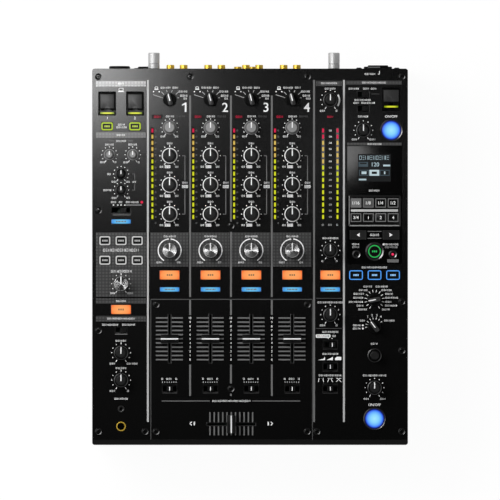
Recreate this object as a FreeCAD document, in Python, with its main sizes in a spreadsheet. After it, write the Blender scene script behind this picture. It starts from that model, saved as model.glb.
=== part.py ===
import FreeCAD, Part
import Sketcher
import os
import re
from collections import namedtuple

# A four-channel club mixer: a folded steel tray under a thick control panel.
# Millimetres. +X is the user's right, +Y the rear, +Z up.
# The origin is on the table, under the middle of the whole outline.

SIZES = {
    # Columns across the panel, from the user's left
    "left_width": 58.7,
    "left_shift": 1.1,
    "channel_margin": 1.45,
    "channel_pitch": 43.1,
    "master_width": 31.5,
    "master_shift": 1.4,
    "effects_width": 67.5,
    "effects_shift": 1.45,
    "effects_left_offset": 11.8,
    "effects_right_offset": 17.6,
    # Rows of the four channels, each counted from the row behind it
    "source_row": 32.9,
    "trim_gap": 29.3,
    "equaliser_gap": 29.7,
    "equaliser_pitch": 30.8,
    "colour_gap": 38.3,
    "cue_gap": 25.9,
    "assign_gap": 15.2,
    "plate_gap": 10.4,
    "fader_gap": 41.7,
    "crossfade_switch_gap": 52.6,
    "crossfader_gap": 37.5,
    "front_margin": 16.4,
    # Rows of the left column
    "usb_row": 36.8,
    "usb_key_gap": 24.1,
    "mic_gap": 29.9,
    "mic_high_gap": 20.3,
    "mic_low_gap": 17.0,
    "mic_switch_gap": 21.3,
    "mic_assign_gap": 11.9,
    "colour_key_gap": 20.2,
    "colour_key_row_pitch": 20.6,
    "parameter_gap": 24.8,
    "link_gap": 27.2,
    "headphone_switch_gap": 21.6,
    "headphone_mix_gap": 24.1,
    "headphone_level_gap": 28.8,
    "small_jack_gap": 30.4,
    "large_jack_gap": 18.4,
    "usb_spacing": 29.4,
    "mic_spacing": 24.6,
    "colour_key_pitch": 17.1,
    # Rows of the master column, in front of its assign key
    "booth_gap": 26.6,
    "curve_gap": 31.8,
    "curve_pitch": 23.15,
    # Rows of the effects column
    "aux_usb_row": 32.3,
    "aux_switch_row": 27.2,
    "aux_switch_pitch": 14.7,
    "send_gap": 23.1,
    "bezel_gap": 16.8,
    "bezel_length": 124.1,
    "band_key_gap": 11.9,
    "effect_selector_gap": 26.0,
    "channel_selector_gap": 28.4,
    "time_gap": 30.3,
    "depth_gap": 34.1,
    "effect_key_gap": 32.7,
    "beat_inset": 30.5,
    "tap_inset": 13.1,
    "side_key_inset": 10.0,
    "side_key_offset": 19.2,
    "beat_key_offset": 17.4,
    "band_key_pitch": 19.5,
    # Casing
    "foot_height": 8.0,
    "foot_radius": 14.0,
    "foot_taper": 2.0,
    "foot_inset": 32.0,
    "chassis_height": 80.0,
    "chassis_wall": 1.5,
    "flange_width": 12.0,
    "flange_thickness": 2.0,
    "corner_radius": 2.6,
    "panel_thickness": 3.0,
    "bevel_run": 5.5,
    "bevel_drop": 2.2,
    "fader_plate_thickness": 1.5,
    "fader_plate_margin": 1.6,
    "fader_plate_ledge": 9.0,
    "seat_clearance": 0.2,
    # Screws
    "screw_head_radius": 3.6,
    "screw_head_height": 1.4,
    "screw_shank_radius": 1.6,
    "screw_length": 8.0,
    "screw_socket_radius": 1.5,
    "screw_socket_depth": 0.9,
    "screw_clearance": 0.3,
    "screw_inset": 6.5,
    "rear_screw_inset": 8.6,
    "front_screw_inset": 8.8,
    "front_screw_offset": 3.0,
    "plate_screw_inset": 5.6,
    "left_screw_row": 149.7,
    "left_screw_pitch": 126.5,
    "right_screw_row": 245.8,
    "right_screw_pitch": 51.7,
    "centre_screw_gap": 12.2,
    # Rotary controls
    "shaft_radius": 3.0,
    "shaft_clearance": 0.4,
    "knob_gap": 0.5,
    "knob_draft": 0.5,
    "pointer_width": 1.0,
    "pointer_depth": 0.4,
    "pointer_inner_share": 0.3,
    "pointer_outer_share": 0.9,
    "selector_skirt_radius": 7.0,
    "selector_skirt_height": 5.0,
    "selector_bar_width": 4.6,
    "selector_height": 15.0,
    "trim_skirt_radius": 7.3,
    "trim_skirt_height": 2.6,
    "trim_cap_radius": 5.4,
    "trim_height": 14.0,
    "equaliser_skirt_radius": 8.3,
    "equaliser_skirt_height": 3.0,
    "equaliser_cap_radius": 5.7,
    "equaliser_height": 16.0,
    "dial_skirt_radius": 7.9,
    "dial_skirt_height": 2.4,
    "dial_cap_radius": 6.7,
    "dial_height": 16.9,
    "level_skirt_radius": 7.5,
    "level_skirt_height": 2.6,
    "level_cap_radius": 5.2,
    "level_height": 15.0,
    "mic_skirt_radius": 5.8,
    "mic_skirt_height": 2.2,
    "mic_cap_radius": 3.5,
    "mic_height": 13.0,
    "source_angle": 15.0,
    "effect_angle": 101.0,
    "effect_channel_angle": 37.0,
    # Faders
    "fader_travel": 22.5,
    "fader_cap_width": 18.8,
    "fader_cap_length": 9.0,
    "fader_cap_ridge": 3.6,
    "fader_cap_side": 5.0,
    "fader_cap_height": 12.0,
    "fader_blade_width": 1.6,
    "fader_blade_length": 5.0,
    "fader_unit_width": 15.0,
    "fader_unit_height": 10.0,
    "crossfader_offset": 0.35,
    # Keys
    "key_proud": 1.6,
    "key_depth": 4.0,
    "key_flange": 0.9,
    "key_flange_thickness": 1.2,
    "key_clearance": 0.3,
    "key_travel": 1.0,
    "cue_key_width": 21.4,
    "cue_key_length": 10.2,
    "assign_key_width": 21.0,
    "assign_key_length": 5.2,
    "usb_key_width": 12.1,
    "usb_key_length": 8.4,
    "colour_key_width": 11.5,
    "colour_key_length": 9.4,
    "band_key_width": 14.4,
    "band_key_length": 10.0,
    "beat_key_width": 17.2,
    "beat_key_length": 9.4,
    "side_key_radius": 4.6,
    "tap_key_radius": 7.6,
    "effect_key_radius": 9.4,
    # Slide switches
    "handle_length": 6.0,
    "handle_width": 4.6,
    "handle_proud": 3.0,
    "handle_depth": 5.0,
    "three_way_travel": 4.0,
    "two_way_travel": 4.2,
    "mic_handle_offset": 2.4,
    # Covered ports on the panel
    "well_width": 17.6,
    "well_length": 24.0,
    "well_depth": 18.0,
    "well_wall": 1.2,
    "lid_length": 17.0,
    "lid_thickness": 1.8,
    "lid_hinge_radius": 1.2,
    "lid_clearance": 0.4,
    "lid_notch_radius": 2.8,
    "port_width": 12.0,
    "port_length": 11.0,
    "port_height": 9.0,
    "port_wall": 1.6,
    # Display bezel and meters
    "bezel_width": 57.5,
    "bezel_thickness": 2.0,
    "bezel_recess": 1.5,
    "meter_offset": 18.2,
    "master_meter_offset": 7.6,
    "meter_width": 3.0,
    "meter_rear_gap": 0.2,
    "meter_length": 97.0,
    "meter_clearance": 0.15,
    # Boards inside
    "board_drop": 20.0,
    "board_thickness": 1.6,
    "board_side_inset": 6.0,
    "board_rear_inset": 22.0,
    "board_front_inset": 10.0,
    "pot_width": 11.0,
    "pot_height": 9.0,
    "pot_clearance": 0.3,
    "post_radius": 3.6,
    "switch_width": 6.0,
    "main_board_lift": 6.0,
    "main_board_inset": 24.0,
    "main_board_width": 180.0,
    "main_board_length": 240.0,
    "main_board_row": 40.0,
    "supply_inset": 24.0,
    "supply_width": 80.0,
    "supply_length": 120.0,
    "supply_height": 32.0,
    # Headphone jacks
    "jack_large_bore": 3.2,
    "jack_large_nut": 5.1,
    "jack_large_body": 13.0,
    "jack_small_bore": 1.8,
    "jack_small_nut": 3.4,
    "jack_small_body": 9.0,
    "jack_proud": 1.2,
    "jack_depth": 17.0,
    "jack_bore_depth": 15.0,
    # Rear sockets
    "socket_clearance": 0.2,
    "socket_depth": 14.0,
    "socket_flange": 1.6,
    "socket_flange_thickness": 3.0,
    "upper_height": 66.0,
    "middle_height": 50.0,
    "lower_height": 30.0,
    "phono_start": 84.2,
    "phono_pitch": 39.9,
    "phono_spacing": 14.0,
    "phono_radius": 4.1,
    "phono_bore": 1.7,
    "phono_reach": 4.3,
    "coaxial_start": 12.9,
    "coaxial_pitch": 16.0,
    "coaxial_reach": 3.0,
    "terminal_reach": 17.2,
    "terminal_neck_reach": 5.0,
    "terminal_radius": 6.1,
    "terminal_neck_radius": 4.0,
    "terminal_left": 101.6,
    "terminal_right": 88.7,
    "round_socket_offset": 138.0,
    "round_socket_pitch": 30.0,
    "round_socket_radius": 10.9,
    "round_socket_bore": 8.9,
    "round_socket_reach": 3.0,
    "jack_socket_offset": 117.4,
    "booth_offset": 76.0,
    "booth_pitch": 17.0,
    "jack_socket_radius": 5.4,
    "inlet_offset": 135.5,
    "inlet_width": 27.0,
    "inlet_height": 20.0,
    "inlet_rim": 2.0,
    "inlet_reach": 3.7,
    "inlet_depth": 20.0,
    "rocker_offset": 131.0,
    "rocker_radius": 9.0,
    "rocker_width": 13.0,
    "rocker_sink": 5.0,
    "rocker_crest": 7.2,
    "rocker_end": 5.8,
    "rocker_half_height": 6.8,
    "rocker_back": 2.7,
    "rocker_back_half_height": 5.4,
    "rocker_tilt": 8.0,
    "rocker_clearance": 0.4,
}

DOC = FreeCAD.newDocument("dj_mixer")
SHEET = DOC.addObject("Spreadsheet::Sheet", "Sizes")
for line, (alias, number) in enumerate(SIZES.items(), start=1):
    SHEET.set(f"A{line}", alias)
    SHEET.set(f"B{line}", str(number))
    SHEET.setAlias(f"B{line}", alias)
DOC.recompute()

CHANNELS = range(4)
NODES = []


# Formulas: plain names in them are cells of the sheet

def sized(formula):
    return "(" + re.sub(r"(?<![.\w])[a-z]\w+", lambda word: "Sizes." + word.group(), formula) + ")"


def value(formula):
    return float(SHEET.evalExpression(sized(formula)))


# Places across the panel

WIDTH = sized("left_width + 4 * channel_pitch + 2 * channel_margin + master_width + effects_width")
LEFT_EDGE = f"0 - {WIDTH} / 2"
RIGHT_EDGE = f"{WIDTH} / 2"
LEFT_X = f"{LEFT_EDGE} + left_width / 2 + left_shift"
CHANNEL_START = f"{LEFT_EDGE} + left_width + channel_margin"
MASTER_START = f"{CHANNEL_START} + 4 * channel_pitch + channel_margin"
MASTER_X = f"{MASTER_START} + master_width / 2 + master_shift"
EFFECTS_X = f"{RIGHT_EDGE} - effects_width / 2 - effects_shift"
EFFECTS_LEFT_X = f"{EFFECTS_X} - effects_left_offset"
EFFECTS_RIGHT_X = f"{EFFECTS_X} + effects_right_offset"
CHANNEL_MIDDLE_X = f"{CHANNEL_START} + 2 * channel_pitch"
CROSSFADER_X = f"{CHANNEL_MIDDLE_X} + crossfader_offset"
PLATE_LEFT = f"{CHANNEL_START} + fader_plate_margin"
PLATE_RIGHT = f"{MASTER_START} - fader_plate_margin"


def channel_x(channel):
    return f"{CHANNEL_START} + {channel + 0.5} * channel_pitch"


# Rows, as distances from the rear edge of the panel

TRIM_ROW = "source_row + trim_gap"
HIGH_ROW = f"{TRIM_ROW} + equaliser_gap"
MIDDLE_ROW = f"{HIGH_ROW} + equaliser_pitch"
LOW_ROW = f"{MIDDLE_ROW} + equaliser_pitch"
COLOUR_ROW = f"{LOW_ROW} + colour_gap"
CUE_ROW = f"{COLOUR_ROW} + cue_gap"
ASSIGN_ROW = f"{CUE_ROW} + assign_gap"
PLATE_REAR_ROW = f"{ASSIGN_ROW} + plate_gap"
FADER_ROW = f"{PLATE_REAR_ROW} + fader_gap"
CROSSFADE_SWITCH_ROW = f"{FADER_ROW} + crossfade_switch_gap"
CROSSFADER_ROW = f"{CROSSFADE_SWITCH_ROW} + crossfader_gap"
PANEL_FRONT_ROW = f"{CROSSFADER_ROW} + front_margin"
FRONT_SCREW_ROW = f"{PANEL_FRONT_ROW} - front_screw_inset"
USB_KEY_ROW = "usb_row + usb_key_gap"
MIC_ROW = f"{USB_KEY_ROW} + mic_gap"
MIC_HIGH_ROW = f"{MIC_ROW} + mic_high_gap"
MIC_LOW_ROW = f"{MIC_HIGH_ROW} + mic_low_gap"
MIC_SWITCH_ROW = f"{MIC_LOW_ROW} + mic_switch_gap"
MIC_ASSIGN_ROW = f"{MIC_SWITCH_ROW} + mic_assign_gap"
COLOUR_KEY_ROW = f"{MIC_ASSIGN_ROW} + colour_key_gap"
PARAMETER_ROW = f"{COLOUR_KEY_ROW} + colour_key_row_pitch + parameter_gap"
LINK_ROW = f"{PARAMETER_ROW} + link_gap"
HEADPHONE_SWITCH_ROW = f"{LINK_ROW} + headphone_switch_gap"
HEADPHONE_MIX_ROW = f"{HEADPHONE_SWITCH_ROW} + headphone_mix_gap"
HEADPHONE_LEVEL_ROW = f"{HEADPHONE_MIX_ROW} + headphone_level_gap"
SMALL_JACK_ROW = f"{HEADPHONE_LEVEL_ROW} + small_jack_gap"
LARGE_JACK_ROW = f"{SMALL_JACK_ROW} + large_jack_gap"
BOOTH_ROW = f"{ASSIGN_ROW} + booth_gap"
CURVE_ROW = f"{BOOTH_ROW} + curve_gap"
SEND_ROW = "aux_switch_row + aux_switch_pitch + send_gap"
BEZEL_REAR_ROW = f"{SEND_ROW} + bezel_gap"
BEZEL_FRONT_ROW = f"{BEZEL_REAR_ROW} + bezel_length"
BEAT_ROW = f"{BEZEL_FRONT_ROW} - beat_inset"
TAP_ROW = f"{BEZEL_FRONT_ROW} - tap_inset"
SIDE_KEY_ROW = f"{BEZEL_FRONT_ROW} - side_key_inset"
BAND_KEY_ROW = f"{BEZEL_FRONT_ROW} + band_key_gap"
EFFECT_SELECTOR_ROW = f"{BAND_KEY_ROW} + effect_selector_gap"
CHANNEL_SELECTOR_ROW = f"{EFFECT_SELECTOR_ROW} + channel_selector_gap"
TIME_ROW = f"{CHANNEL_SELECTOR_ROW} + time_gap"
DEPTH_ROW = f"{TIME_ROW} + depth_gap"
EFFECT_KEY_ROW = f"{DEPTH_ROW} + effect_key_gap"
METER_REAR_ROW = f"{TRIM_ROW} + meter_rear_gap"

BODY_DEPTH = sized(f"{PANEL_FRONT_ROW} + bevel_run")
REAR_Y = f"({BODY_DEPTH} - terminal_reach) / 2"
FRONT_Y = f"{REAR_Y} - {BODY_DEPTH}"

FLOOR_Z = "foot_height"
UNDER_Z = "foot_height + chassis_height"
TOP_Z = f"{UNDER_Z} + panel_thickness"
BOARD_Z = f"{UNDER_Z} - board_drop"
PLATE_Z = f"{TOP_Z} - fader_plate_thickness"


def row_y(row):
    return f"{REAR_Y} - ({row})"


# Layout of the controls

Knob = namedtuple("Knob", "node kind x row turn")
Key = namedtuple("Key", "group name x row width length")
RoundKey = namedtuple("RoundKey", "group name x row radius")
Switch = namedtuple("Switch", "group name x row offset travel plate")


def knob_layout():
    knobs = []
    for channel in CHANNELS:
        x = channel_x(channel)
        number = channel + 1
        knobs += [
            Knob(f"source_selector_{number}", "selector", x, "source_row", "source_angle"),
            Knob(f"trim_knob_{number}", "trim", x, TRIM_ROW, "0"),
            Knob(f"high_knob_{number}", "equaliser", x, HIGH_ROW, "0"),
            Knob(f"middle_knob_{number}", "equaliser", x, MIDDLE_ROW, "0"),
            Knob(f"low_knob_{number}", "equaliser", x, LOW_ROW, "0"),
            Knob(f"colour_knob_{number}", "dial", x, COLOUR_ROW, "0"),
        ]
    knobs += [
        Knob("mic_level_knob_1", "mic", f"{LEFT_X} - mic_spacing / 2", MIC_ROW, "0"),
        Knob("mic_level_knob_2", "mic", f"{LEFT_X} + mic_spacing / 2", MIC_ROW, "0"),
        Knob("mic_high_knob", "mic", LEFT_X, MIC_HIGH_ROW, "0"),
        Knob("mic_low_knob", "mic", LEFT_X, MIC_LOW_ROW, "0"),
        Knob("parameter_knob", "dial", LEFT_X, PARAMETER_ROW, "0"),
        Knob("headphone_mix_knob", "level", LEFT_X, HEADPHONE_MIX_ROW, "0"),
        Knob("headphone_level_knob", "level", LEFT_X, HEADPHONE_LEVEL_ROW, "0"),
        Knob("master_level_knob", "level", MASTER_X, "source_row", "0"),
        Knob("balance_knob", "level", MASTER_X, COLOUR_ROW, "0"),
        Knob("booth_level_knob", "level", MASTER_X, BOOTH_ROW, "0"),
        Knob("send_level_knob", "level", EFFECTS_LEFT_X, SEND_ROW, "0"),
        Knob("effect_selector", "selector", EFFECTS_X, EFFECT_SELECTOR_ROW, "effect_angle"),
        Knob("effect_channel_selector", "selector", EFFECTS_X, CHANNEL_SELECTOR_ROW,
             "effect_channel_angle"),
        Knob("time_knob", "trim", EFFECTS_X, TIME_ROW, "0"),
        Knob("depth_knob", "level", EFFECTS_X, DEPTH_ROW, "0"),
    ]
    return knobs


def key_layout():
    keys = []
    columns = [(f"{channel + 1}", channel_x(channel)) for channel in CHANNELS] + [("master", MASTER_X)]
    for name, x in columns:
        keys.append(Key("cue_buttons", f"cue_{name}", x, CUE_ROW, "cue_key_width", "cue_key_length"))
        keys.append(Key("assign_buttons", f"assign_{name}", x, ASSIGN_ROW,
                        "assign_key_width", "assign_key_length"))
    keys.append(Key("cue_buttons", "cue_link", LEFT_X, LINK_ROW, "cue_key_width", "cue_key_length"))
    keys.append(Key("assign_buttons", "assign_mic", LEFT_X, MIC_ASSIGN_ROW,
                    "assign_key_width", "assign_key_length"))
    for side, name in ((-1, "left"), (1, "right")):
        keys.append(Key("key_buttons", f"usb_key_{name}", f"{LEFT_X} + {side} * usb_spacing / 2",
                        USB_KEY_ROW, "usb_key_width", "usb_key_length"))
        keys.append(Key("key_buttons", f"beat_key_{name}", f"{EFFECTS_X} + {side} * beat_key_offset",
                        BEAT_ROW, "beat_key_width", "beat_key_length"))
    for column in (-1, 0, 1):
        for line in (0, 1):
            keys.append(Key("key_buttons", f"colour_key_{column + 2}_{line + 1}",
                            f"{LEFT_X} + {column} * colour_key_pitch",
                            f"{COLOUR_KEY_ROW} + {line} * colour_key_row_pitch",
                            "colour_key_width", "colour_key_length"))
        keys.append(Key("key_buttons", f"band_key_{column + 2}", f"{EFFECTS_X} + {column} * band_key_pitch",
                        BAND_KEY_ROW, "band_key_width", "band_key_length"))
    return keys


def round_key_layout():
    return [
        RoundKey("assign_buttons", "send_key", EFFECTS_RIGHT_X, SEND_ROW, "effect_key_radius"),
        RoundKey("assign_buttons", "effect_key", EFFECTS_X, EFFECT_KEY_ROW, "effect_key_radius"),
        RoundKey("key_buttons", "auto_key", f"{EFFECTS_X} - side_key_offset", SIDE_KEY_ROW,
                 "side_key_radius"),
        RoundKey("key_buttons", "tap_key", EFFECTS_X, TAP_ROW, "tap_key_radius"),
        RoundKey("key_buttons", "snap_key", f"{EFFECTS_X} + side_key_offset", SIDE_KEY_ROW,
                 "side_key_radius"),
    ]


def switch_layout():
    switches = []
    for channel in CHANNELS:
        switches.append(Switch("three_way_switches", f"crossfade_switch_{channel + 1}", channel_x(channel),
                               CROSSFADE_SWITCH_ROW, "0", "three_way_travel", True))
    right_end = "two_way_travel / 2"
    switches += [
        Switch("three_way_switches", "mic_switch", LEFT_X, MIC_SWITCH_ROW, "mic_handle_offset",
               "three_way_travel", False),
        Switch("three_way_switches", "fader_curve_switch", MASTER_X, f"{CURVE_ROW} + curve_pitch", "0",
               "three_way_travel", False),
        Switch("three_way_switches", "crossfader_curve_switch", MASTER_X, f"{CURVE_ROW} + 2 * curve_pitch",
               "0", "three_way_travel", False),
        Switch("two_way_switches", "headphone_switch", LEFT_X, HEADPHONE_SWITCH_ROW, right_end,
               "two_way_travel / 2", False),
        Switch("two_way_switches", "equaliser_curve_switch", MASTER_X, CURVE_ROW, right_end,
               "two_way_travel / 2", False),
        Switch("two_way_switches", "aux_input_switch", EFFECTS_LEFT_X, "aux_switch_row", right_end,
               "two_way_travel / 2", False),
        Switch("two_way_switches", "aux_output_switch", EFFECTS_LEFT_X, "aux_switch_row + aux_switch_pitch",
               right_end, "two_way_travel / 2", False),
    ]
    return switches


def edge_screw_layout():
    rear = row_y("rear_screw_inset")
    front = row_y(FRONT_SCREW_ROW)
    left = f"{LEFT_EDGE} + screw_inset"
    right = f"{RIGHT_EDGE} - screw_inset"
    return [
        (left, rear),
        (f"{channel_x(0)} + channel_pitch / 2", rear),
        (f"{PLATE_RIGHT} - plate_screw_inset", rear),
        (right, rear),
        (left, row_y("left_screw_row")),
        (left, row_y("left_screw_row + left_screw_pitch")),
        (right, row_y("right_screw_row")),
        (right, row_y("right_screw_row + right_screw_pitch")),
        (left, front),
        (f"{CHANNEL_START} - channel_margin - front_screw_offset", front),
        (f"{MASTER_START} + front_screw_offset", front),
        (right, front),
    ]


def plate_screw_layout():
    left = f"{PLATE_LEFT} + plate_screw_inset"
    right = f"{PLATE_RIGHT} - plate_screw_inset"
    rear = row_y(f"{PLATE_REAR_ROW} + plate_screw_inset")
    front = row_y(FRONT_SCREW_ROW)
    return [(left, rear), (right, rear), (left, front), (right, front)]


UPPER_CENTRE_SCREW = (CHANNEL_MIDDLE_X, row_y(f"{LOW_ROW} + centre_screw_gap"))
LOWER_CENTRE_SCREW = (CHANNEL_MIDDLE_X, row_y(CROSSFADE_SWITCH_ROW))
PANEL_SCREWS = edge_screw_layout() + plate_screw_layout() + [UPPER_CENTRE_SCREW]
PLATE_SCREWS = plate_screw_layout() + [LOWER_CENTRE_SCREW]
SCREWS = PANEL_SCREWS + [LOWER_CENTRE_SCREW]
KNOBS = knob_layout()
KEYS = key_layout()
ROUND_KEYS = round_key_layout()
BEZEL_ROUND_KEYS = [key for key in ROUND_KEYS if key.group == "key_buttons"]
SWITCHES = switch_layout()
METERS = [f"{channel_x(channel)} - meter_offset" for channel in CHANNELS]
METERS += [f"{MASTER_X} - master_meter_offset", f"{MASTER_X} + master_meter_offset"]
WELLS = [
    ("usb_left", f"{LEFT_X} - usb_spacing / 2", "usb_row"),
    ("usb_right", f"{LEFT_X} + usb_spacing / 2", "usb_row"),
    ("aux_usb", EFFECTS_RIGHT_X, "aux_usb_row"),
]


# Building blocks

def bind(part, **formulas):
    for name, formula in formulas.items():
        part.setExpression(name, sized(formula))


def place(part, x, y, z):
    for axis, formula in (("x", x), ("y", y), ("z", z)):
        part.setExpression(f"Placement.Base.{axis}", sized(formula))


def block(name, x, y, z, width, length, height):
    """A box centred on x and y, standing on z."""
    part = DOC.addObject("Part::Box", name)
    bind(part, Length=width, Width=length, Height=height)
    place(part, f"{x} - ({width}) / 2", f"{y} - ({length}) / 2", z)
    return part


def rod(name, x, y, z, radius, height):
    """An upright cylinder standing on z."""
    part = DOC.addObject("Part::Cylinder", name)
    bind(part, Radius=radius, Height=height)
    place(part, x, y, z)
    return part


def rear_rod(name, x, y, z, radius, length):
    """A cylinder that runs towards the rear from y."""
    part = DOC.addObject("Part::Cylinder", name)
    part.Placement.Rotation = FreeCAD.Rotation(FreeCAD.Vector(1, 0, 0), -90)
    bind(part, Radius=radius, Height=length)
    place(part, x, y, z)
    return part


def cross_rod(name, x, y, z, radius, length):
    """A cylinder along X, centred on x."""
    part = DOC.addObject("Part::Cylinder", name)
    part.Placement.Rotation = FreeCAD.Rotation(FreeCAD.Vector(0, 1, 0), 90)
    bind(part, Radius=radius, Height=length)
    place(part, f"{x} - ({length}) / 2", y, z)
    return part


def gather(name, parts):
    part = DOC.addObject("Part::Compound", name)
    part.Links = parts
    return part


def join(name, parts):
    part = DOC.addObject("Part::MultiFuse", name)
    part.Shapes = parts
    return part


def cut(name, base, tools):
    part = DOC.addObject("Part::Cut", name)
    part.Base = base
    part.Tool = gather(f"{name}_tools", tools)
    return part


def node(part, label):
    part.Label = label
    NODES.append(part)


def sketch_on(body, role, name):
    sketch = body.newObject("Sketcher::SketchObject", name)
    plane = [feature for feature in body.Origin.OriginFeatures if feature.Role == role][0]
    sketch.AttachmentSupport = [(plane, "")]
    sketch.MapMode = "FlatFace"
    return sketch


def polygon(body, role, name, corners):
    """A closed outline whose corners are pairs of formulas."""
    sketch = sketch_on(body, role, name)
    points = [FreeCAD.Vector(value(across), value(along), 0) for across, along in corners]
    count = len(points)
    for index, point in enumerate(points):
        sketch.addGeometry(Part.LineSegment(point, points[(index + 1) % count]), False)
    for index in range(count):
        sketch.addConstraint(Sketcher.Constraint("Coincident", index, 2, (index + 1) % count, 1))
    for index, corner in enumerate(corners):
        for kind, formula in zip(("DistanceX", "DistanceY"), corner):
            measure = Sketcher.Constraint(kind, -1, 1, index, 1, value(formula))
            number = sketch.addConstraint(measure)
            sketch.setExpression(f"Constraints[{number}]", sized(formula))
    return sketch


def pad(body, sketch, name, length, midplane=False):
    feature = body.newObject("PartDesign::Pad", name)
    feature.Profile = sketch
    feature.Midplane = midplane
    bind(feature, Length=length)
    return feature


def rectangle(across, along):
    return [
        (f"0 - ({across}) / 2", f"0 - ({along}) / 2"),
        (f"({across}) / 2", f"0 - ({along}) / 2"),
        (f"({across}) / 2", f"({along}) / 2"),
        (f"0 - ({across}) / 2", f"({along}) / 2"),
    ]


def rounded_slab(name, z, height):
    """The outline of the casing with its rounded corners."""
    body = DOC.addObject("PartDesign::Body", name)
    outline = polygon(body, "XY_Plane", f"{name}_outline", rectangle(WIDTH, BODY_DEPTH))
    slab = pad(body, outline, f"{name}_slab", height)
    DOC.recompute()
    corners = []
    for number, edge in enumerate(slab.Shape.Edges, start=1):
        if abs(edge.tangentAt(edge.FirstParameter).z) > 0.99:
            corners.append(f"Edge{number}")
    rounding = body.newObject("PartDesign::Fillet", f"{name}_corners")
    rounding.Base = (slab, corners)
    bind(rounding, Radius="corner_radius")
    place(body, "0", MIDDLE_Y, z)
    return body


# Casing

REAR_INSIDE_Y = f"{REAR_Y} - chassis_wall"
MIDDLE_Y = f"({REAR_Y} + {FRONT_Y}) / 2"
WALL_HEIGHT = "chassis_height - chassis_wall - flange_thickness"
TALL = "3 * panel_thickness"


def make_chassis():
    shell = rounded_slab("chassis_block", FLOOR_Z, "chassis_height")
    cavity = block("chassis_cavity", "0", MIDDLE_Y, f"{FLOOR_Z} + chassis_wall",
                   f"{WIDTH} - 2 * chassis_wall", f"{BODY_DEPTH} - 2 * chassis_wall", WALL_HEIGHT)
    mouth = block("chassis_mouth", "0", MIDDLE_Y, f"{UNDER_Z} - 2 * flange_thickness",
                  f"{WIDTH} - 2 * flange_width", f"{BODY_DEPTH} - 2 * flange_width", "4 * flange_thickness")
    tools = [cavity, mouth] + rear_openings() + flange_notches()
    for number, (x, y) in enumerate(SCREWS, start=1):
        tools.append(rod(f"flange_hole_{number}", x, y, f"{UNDER_Z} - 2 * flange_thickness",
                         "screw_shank_radius + screw_clearance", "4 * flange_thickness"))
    node(gather("chassis_sheets", case_sheets(cut("chassis_case", shell, tools))), "chassis")


def sheet(name, case, x, y, z, width, length, height):
    """The part of the case inside one flat box."""
    part = DOC.addObject("Part::MultiCommon", name)
    part.Shapes = [case, block(f"{name}_region", x, y, z, width, length, height)]
    return part


def case_sheets(case):
    """Floor, four walls and four top rails, welded edge to edge."""
    sheets = [sheet("case_floor", case, "0", MIDDLE_Y, FLOOR_Z, WIDTH, BODY_DEPTH, "chassis_wall")]
    for kind, thickness, z, height in (
            ("wall", "chassis_wall", f"{FLOOR_Z} + chassis_wall", WALL_HEIGHT),
            ("rail", "flange_width", f"{UNDER_Z} - flange_thickness", "flange_thickness")):
        for side, name in ((-1, "left"), (1, "right")):
            x = f"{side} * ({WIDTH} - {thickness}) / 2"
            inner_depth = f"{BODY_DEPTH} - 2 * {thickness}"
            sheets.append(sheet(f"{name}_{kind}", case, x, MIDDLE_Y, z, thickness, inner_depth, height))
        for end, name in ((-1, "front"), (1, "rear")):
            y = f"{MIDDLE_Y} + {end} * ({BODY_DEPTH} - {thickness}) / 2"
            sheets.append(sheet(f"{name}_{kind}", case, "0", y, z, WIDTH, thickness, height))
    return sheets


def flange_notches():
    """Room in the flange for what hangs through the panel near its edges."""
    bottom = f"{UNDER_Z} - 2 * flange_thickness"
    height = "4 * flange_thickness"
    around_key = "2 * key_flange + 2 * key_clearance"
    around_well = "2 * well_wall + 2 * seat_clearance"
    notches = []
    for key in KEYS:
        notches.append(block(f"{key.name}_notch", key.x, row_y(key.row), bottom,
                             f"{key.width} + {around_key}", f"{key.length} + {around_key}", height))
    for key in ROUND_KEYS:
        notches.append(rod(f"{key.name}_notch", key.x, row_y(key.row), bottom,
                           f"{key.radius} + {around_key}", height))
    for name, x, row in WELLS:
        notches.append(block(f"{name}_notch", x, row_y(row), bottom, f"well_width + {around_well}",
                             f"well_length + {around_well}", height))
    return notches


def make_feet():
    feet = []
    for side in (-1, 1):
        for end in (-1, 1):
            foot = DOC.addObject("Part::Cone", f"foot_{len(feet) + 1}")
            bind(foot, Radius1="foot_radius - foot_taper", Radius2="foot_radius", Height="foot_height")
            place(foot, f"{side} * ({WIDTH} / 2 - foot_inset)",
                  f"{MIDDLE_Y} + {end} * ({BODY_DEPTH} / 2 - foot_inset)", "0")
            feet.append(foot)
    node(gather("feet", feet), "rubber_feet")


def key_hole(key, grow="key_clearance"):
    return block(f"{key.name}_hole", key.x, row_y(key.row), f"{UNDER_Z} - panel_thickness",
                 f"{key.width} + 2 * {grow}", f"{key.length} + 2 * {grow}", TALL)


def round_key_hole(key):
    return rod(f"{key.name}_hole", key.x, row_y(key.row), f"{UNDER_Z} - panel_thickness",
               f"{key.radius} + key_clearance", TALL)


def switch_hole(switch):
    length = f"handle_length + 2 * ({switch.travel}) + 2 * key_clearance"
    if switch.offset == "mic_handle_offset":
        length += " + 2 * mic_handle_offset"
    return block(f"{switch.name}_hole", switch.x, row_y(switch.row), f"{UNDER_Z} - panel_thickness",
                 length, "handle_width + 2 * key_clearance", TALL)


def screw_hole(name, x, y):
    return rod(name, x, y, f"{UNDER_Z} - panel_thickness",
               "screw_shank_radius + screw_clearance", TALL)


def lid_width():
    return "well_width - 2 * lid_clearance"


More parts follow.
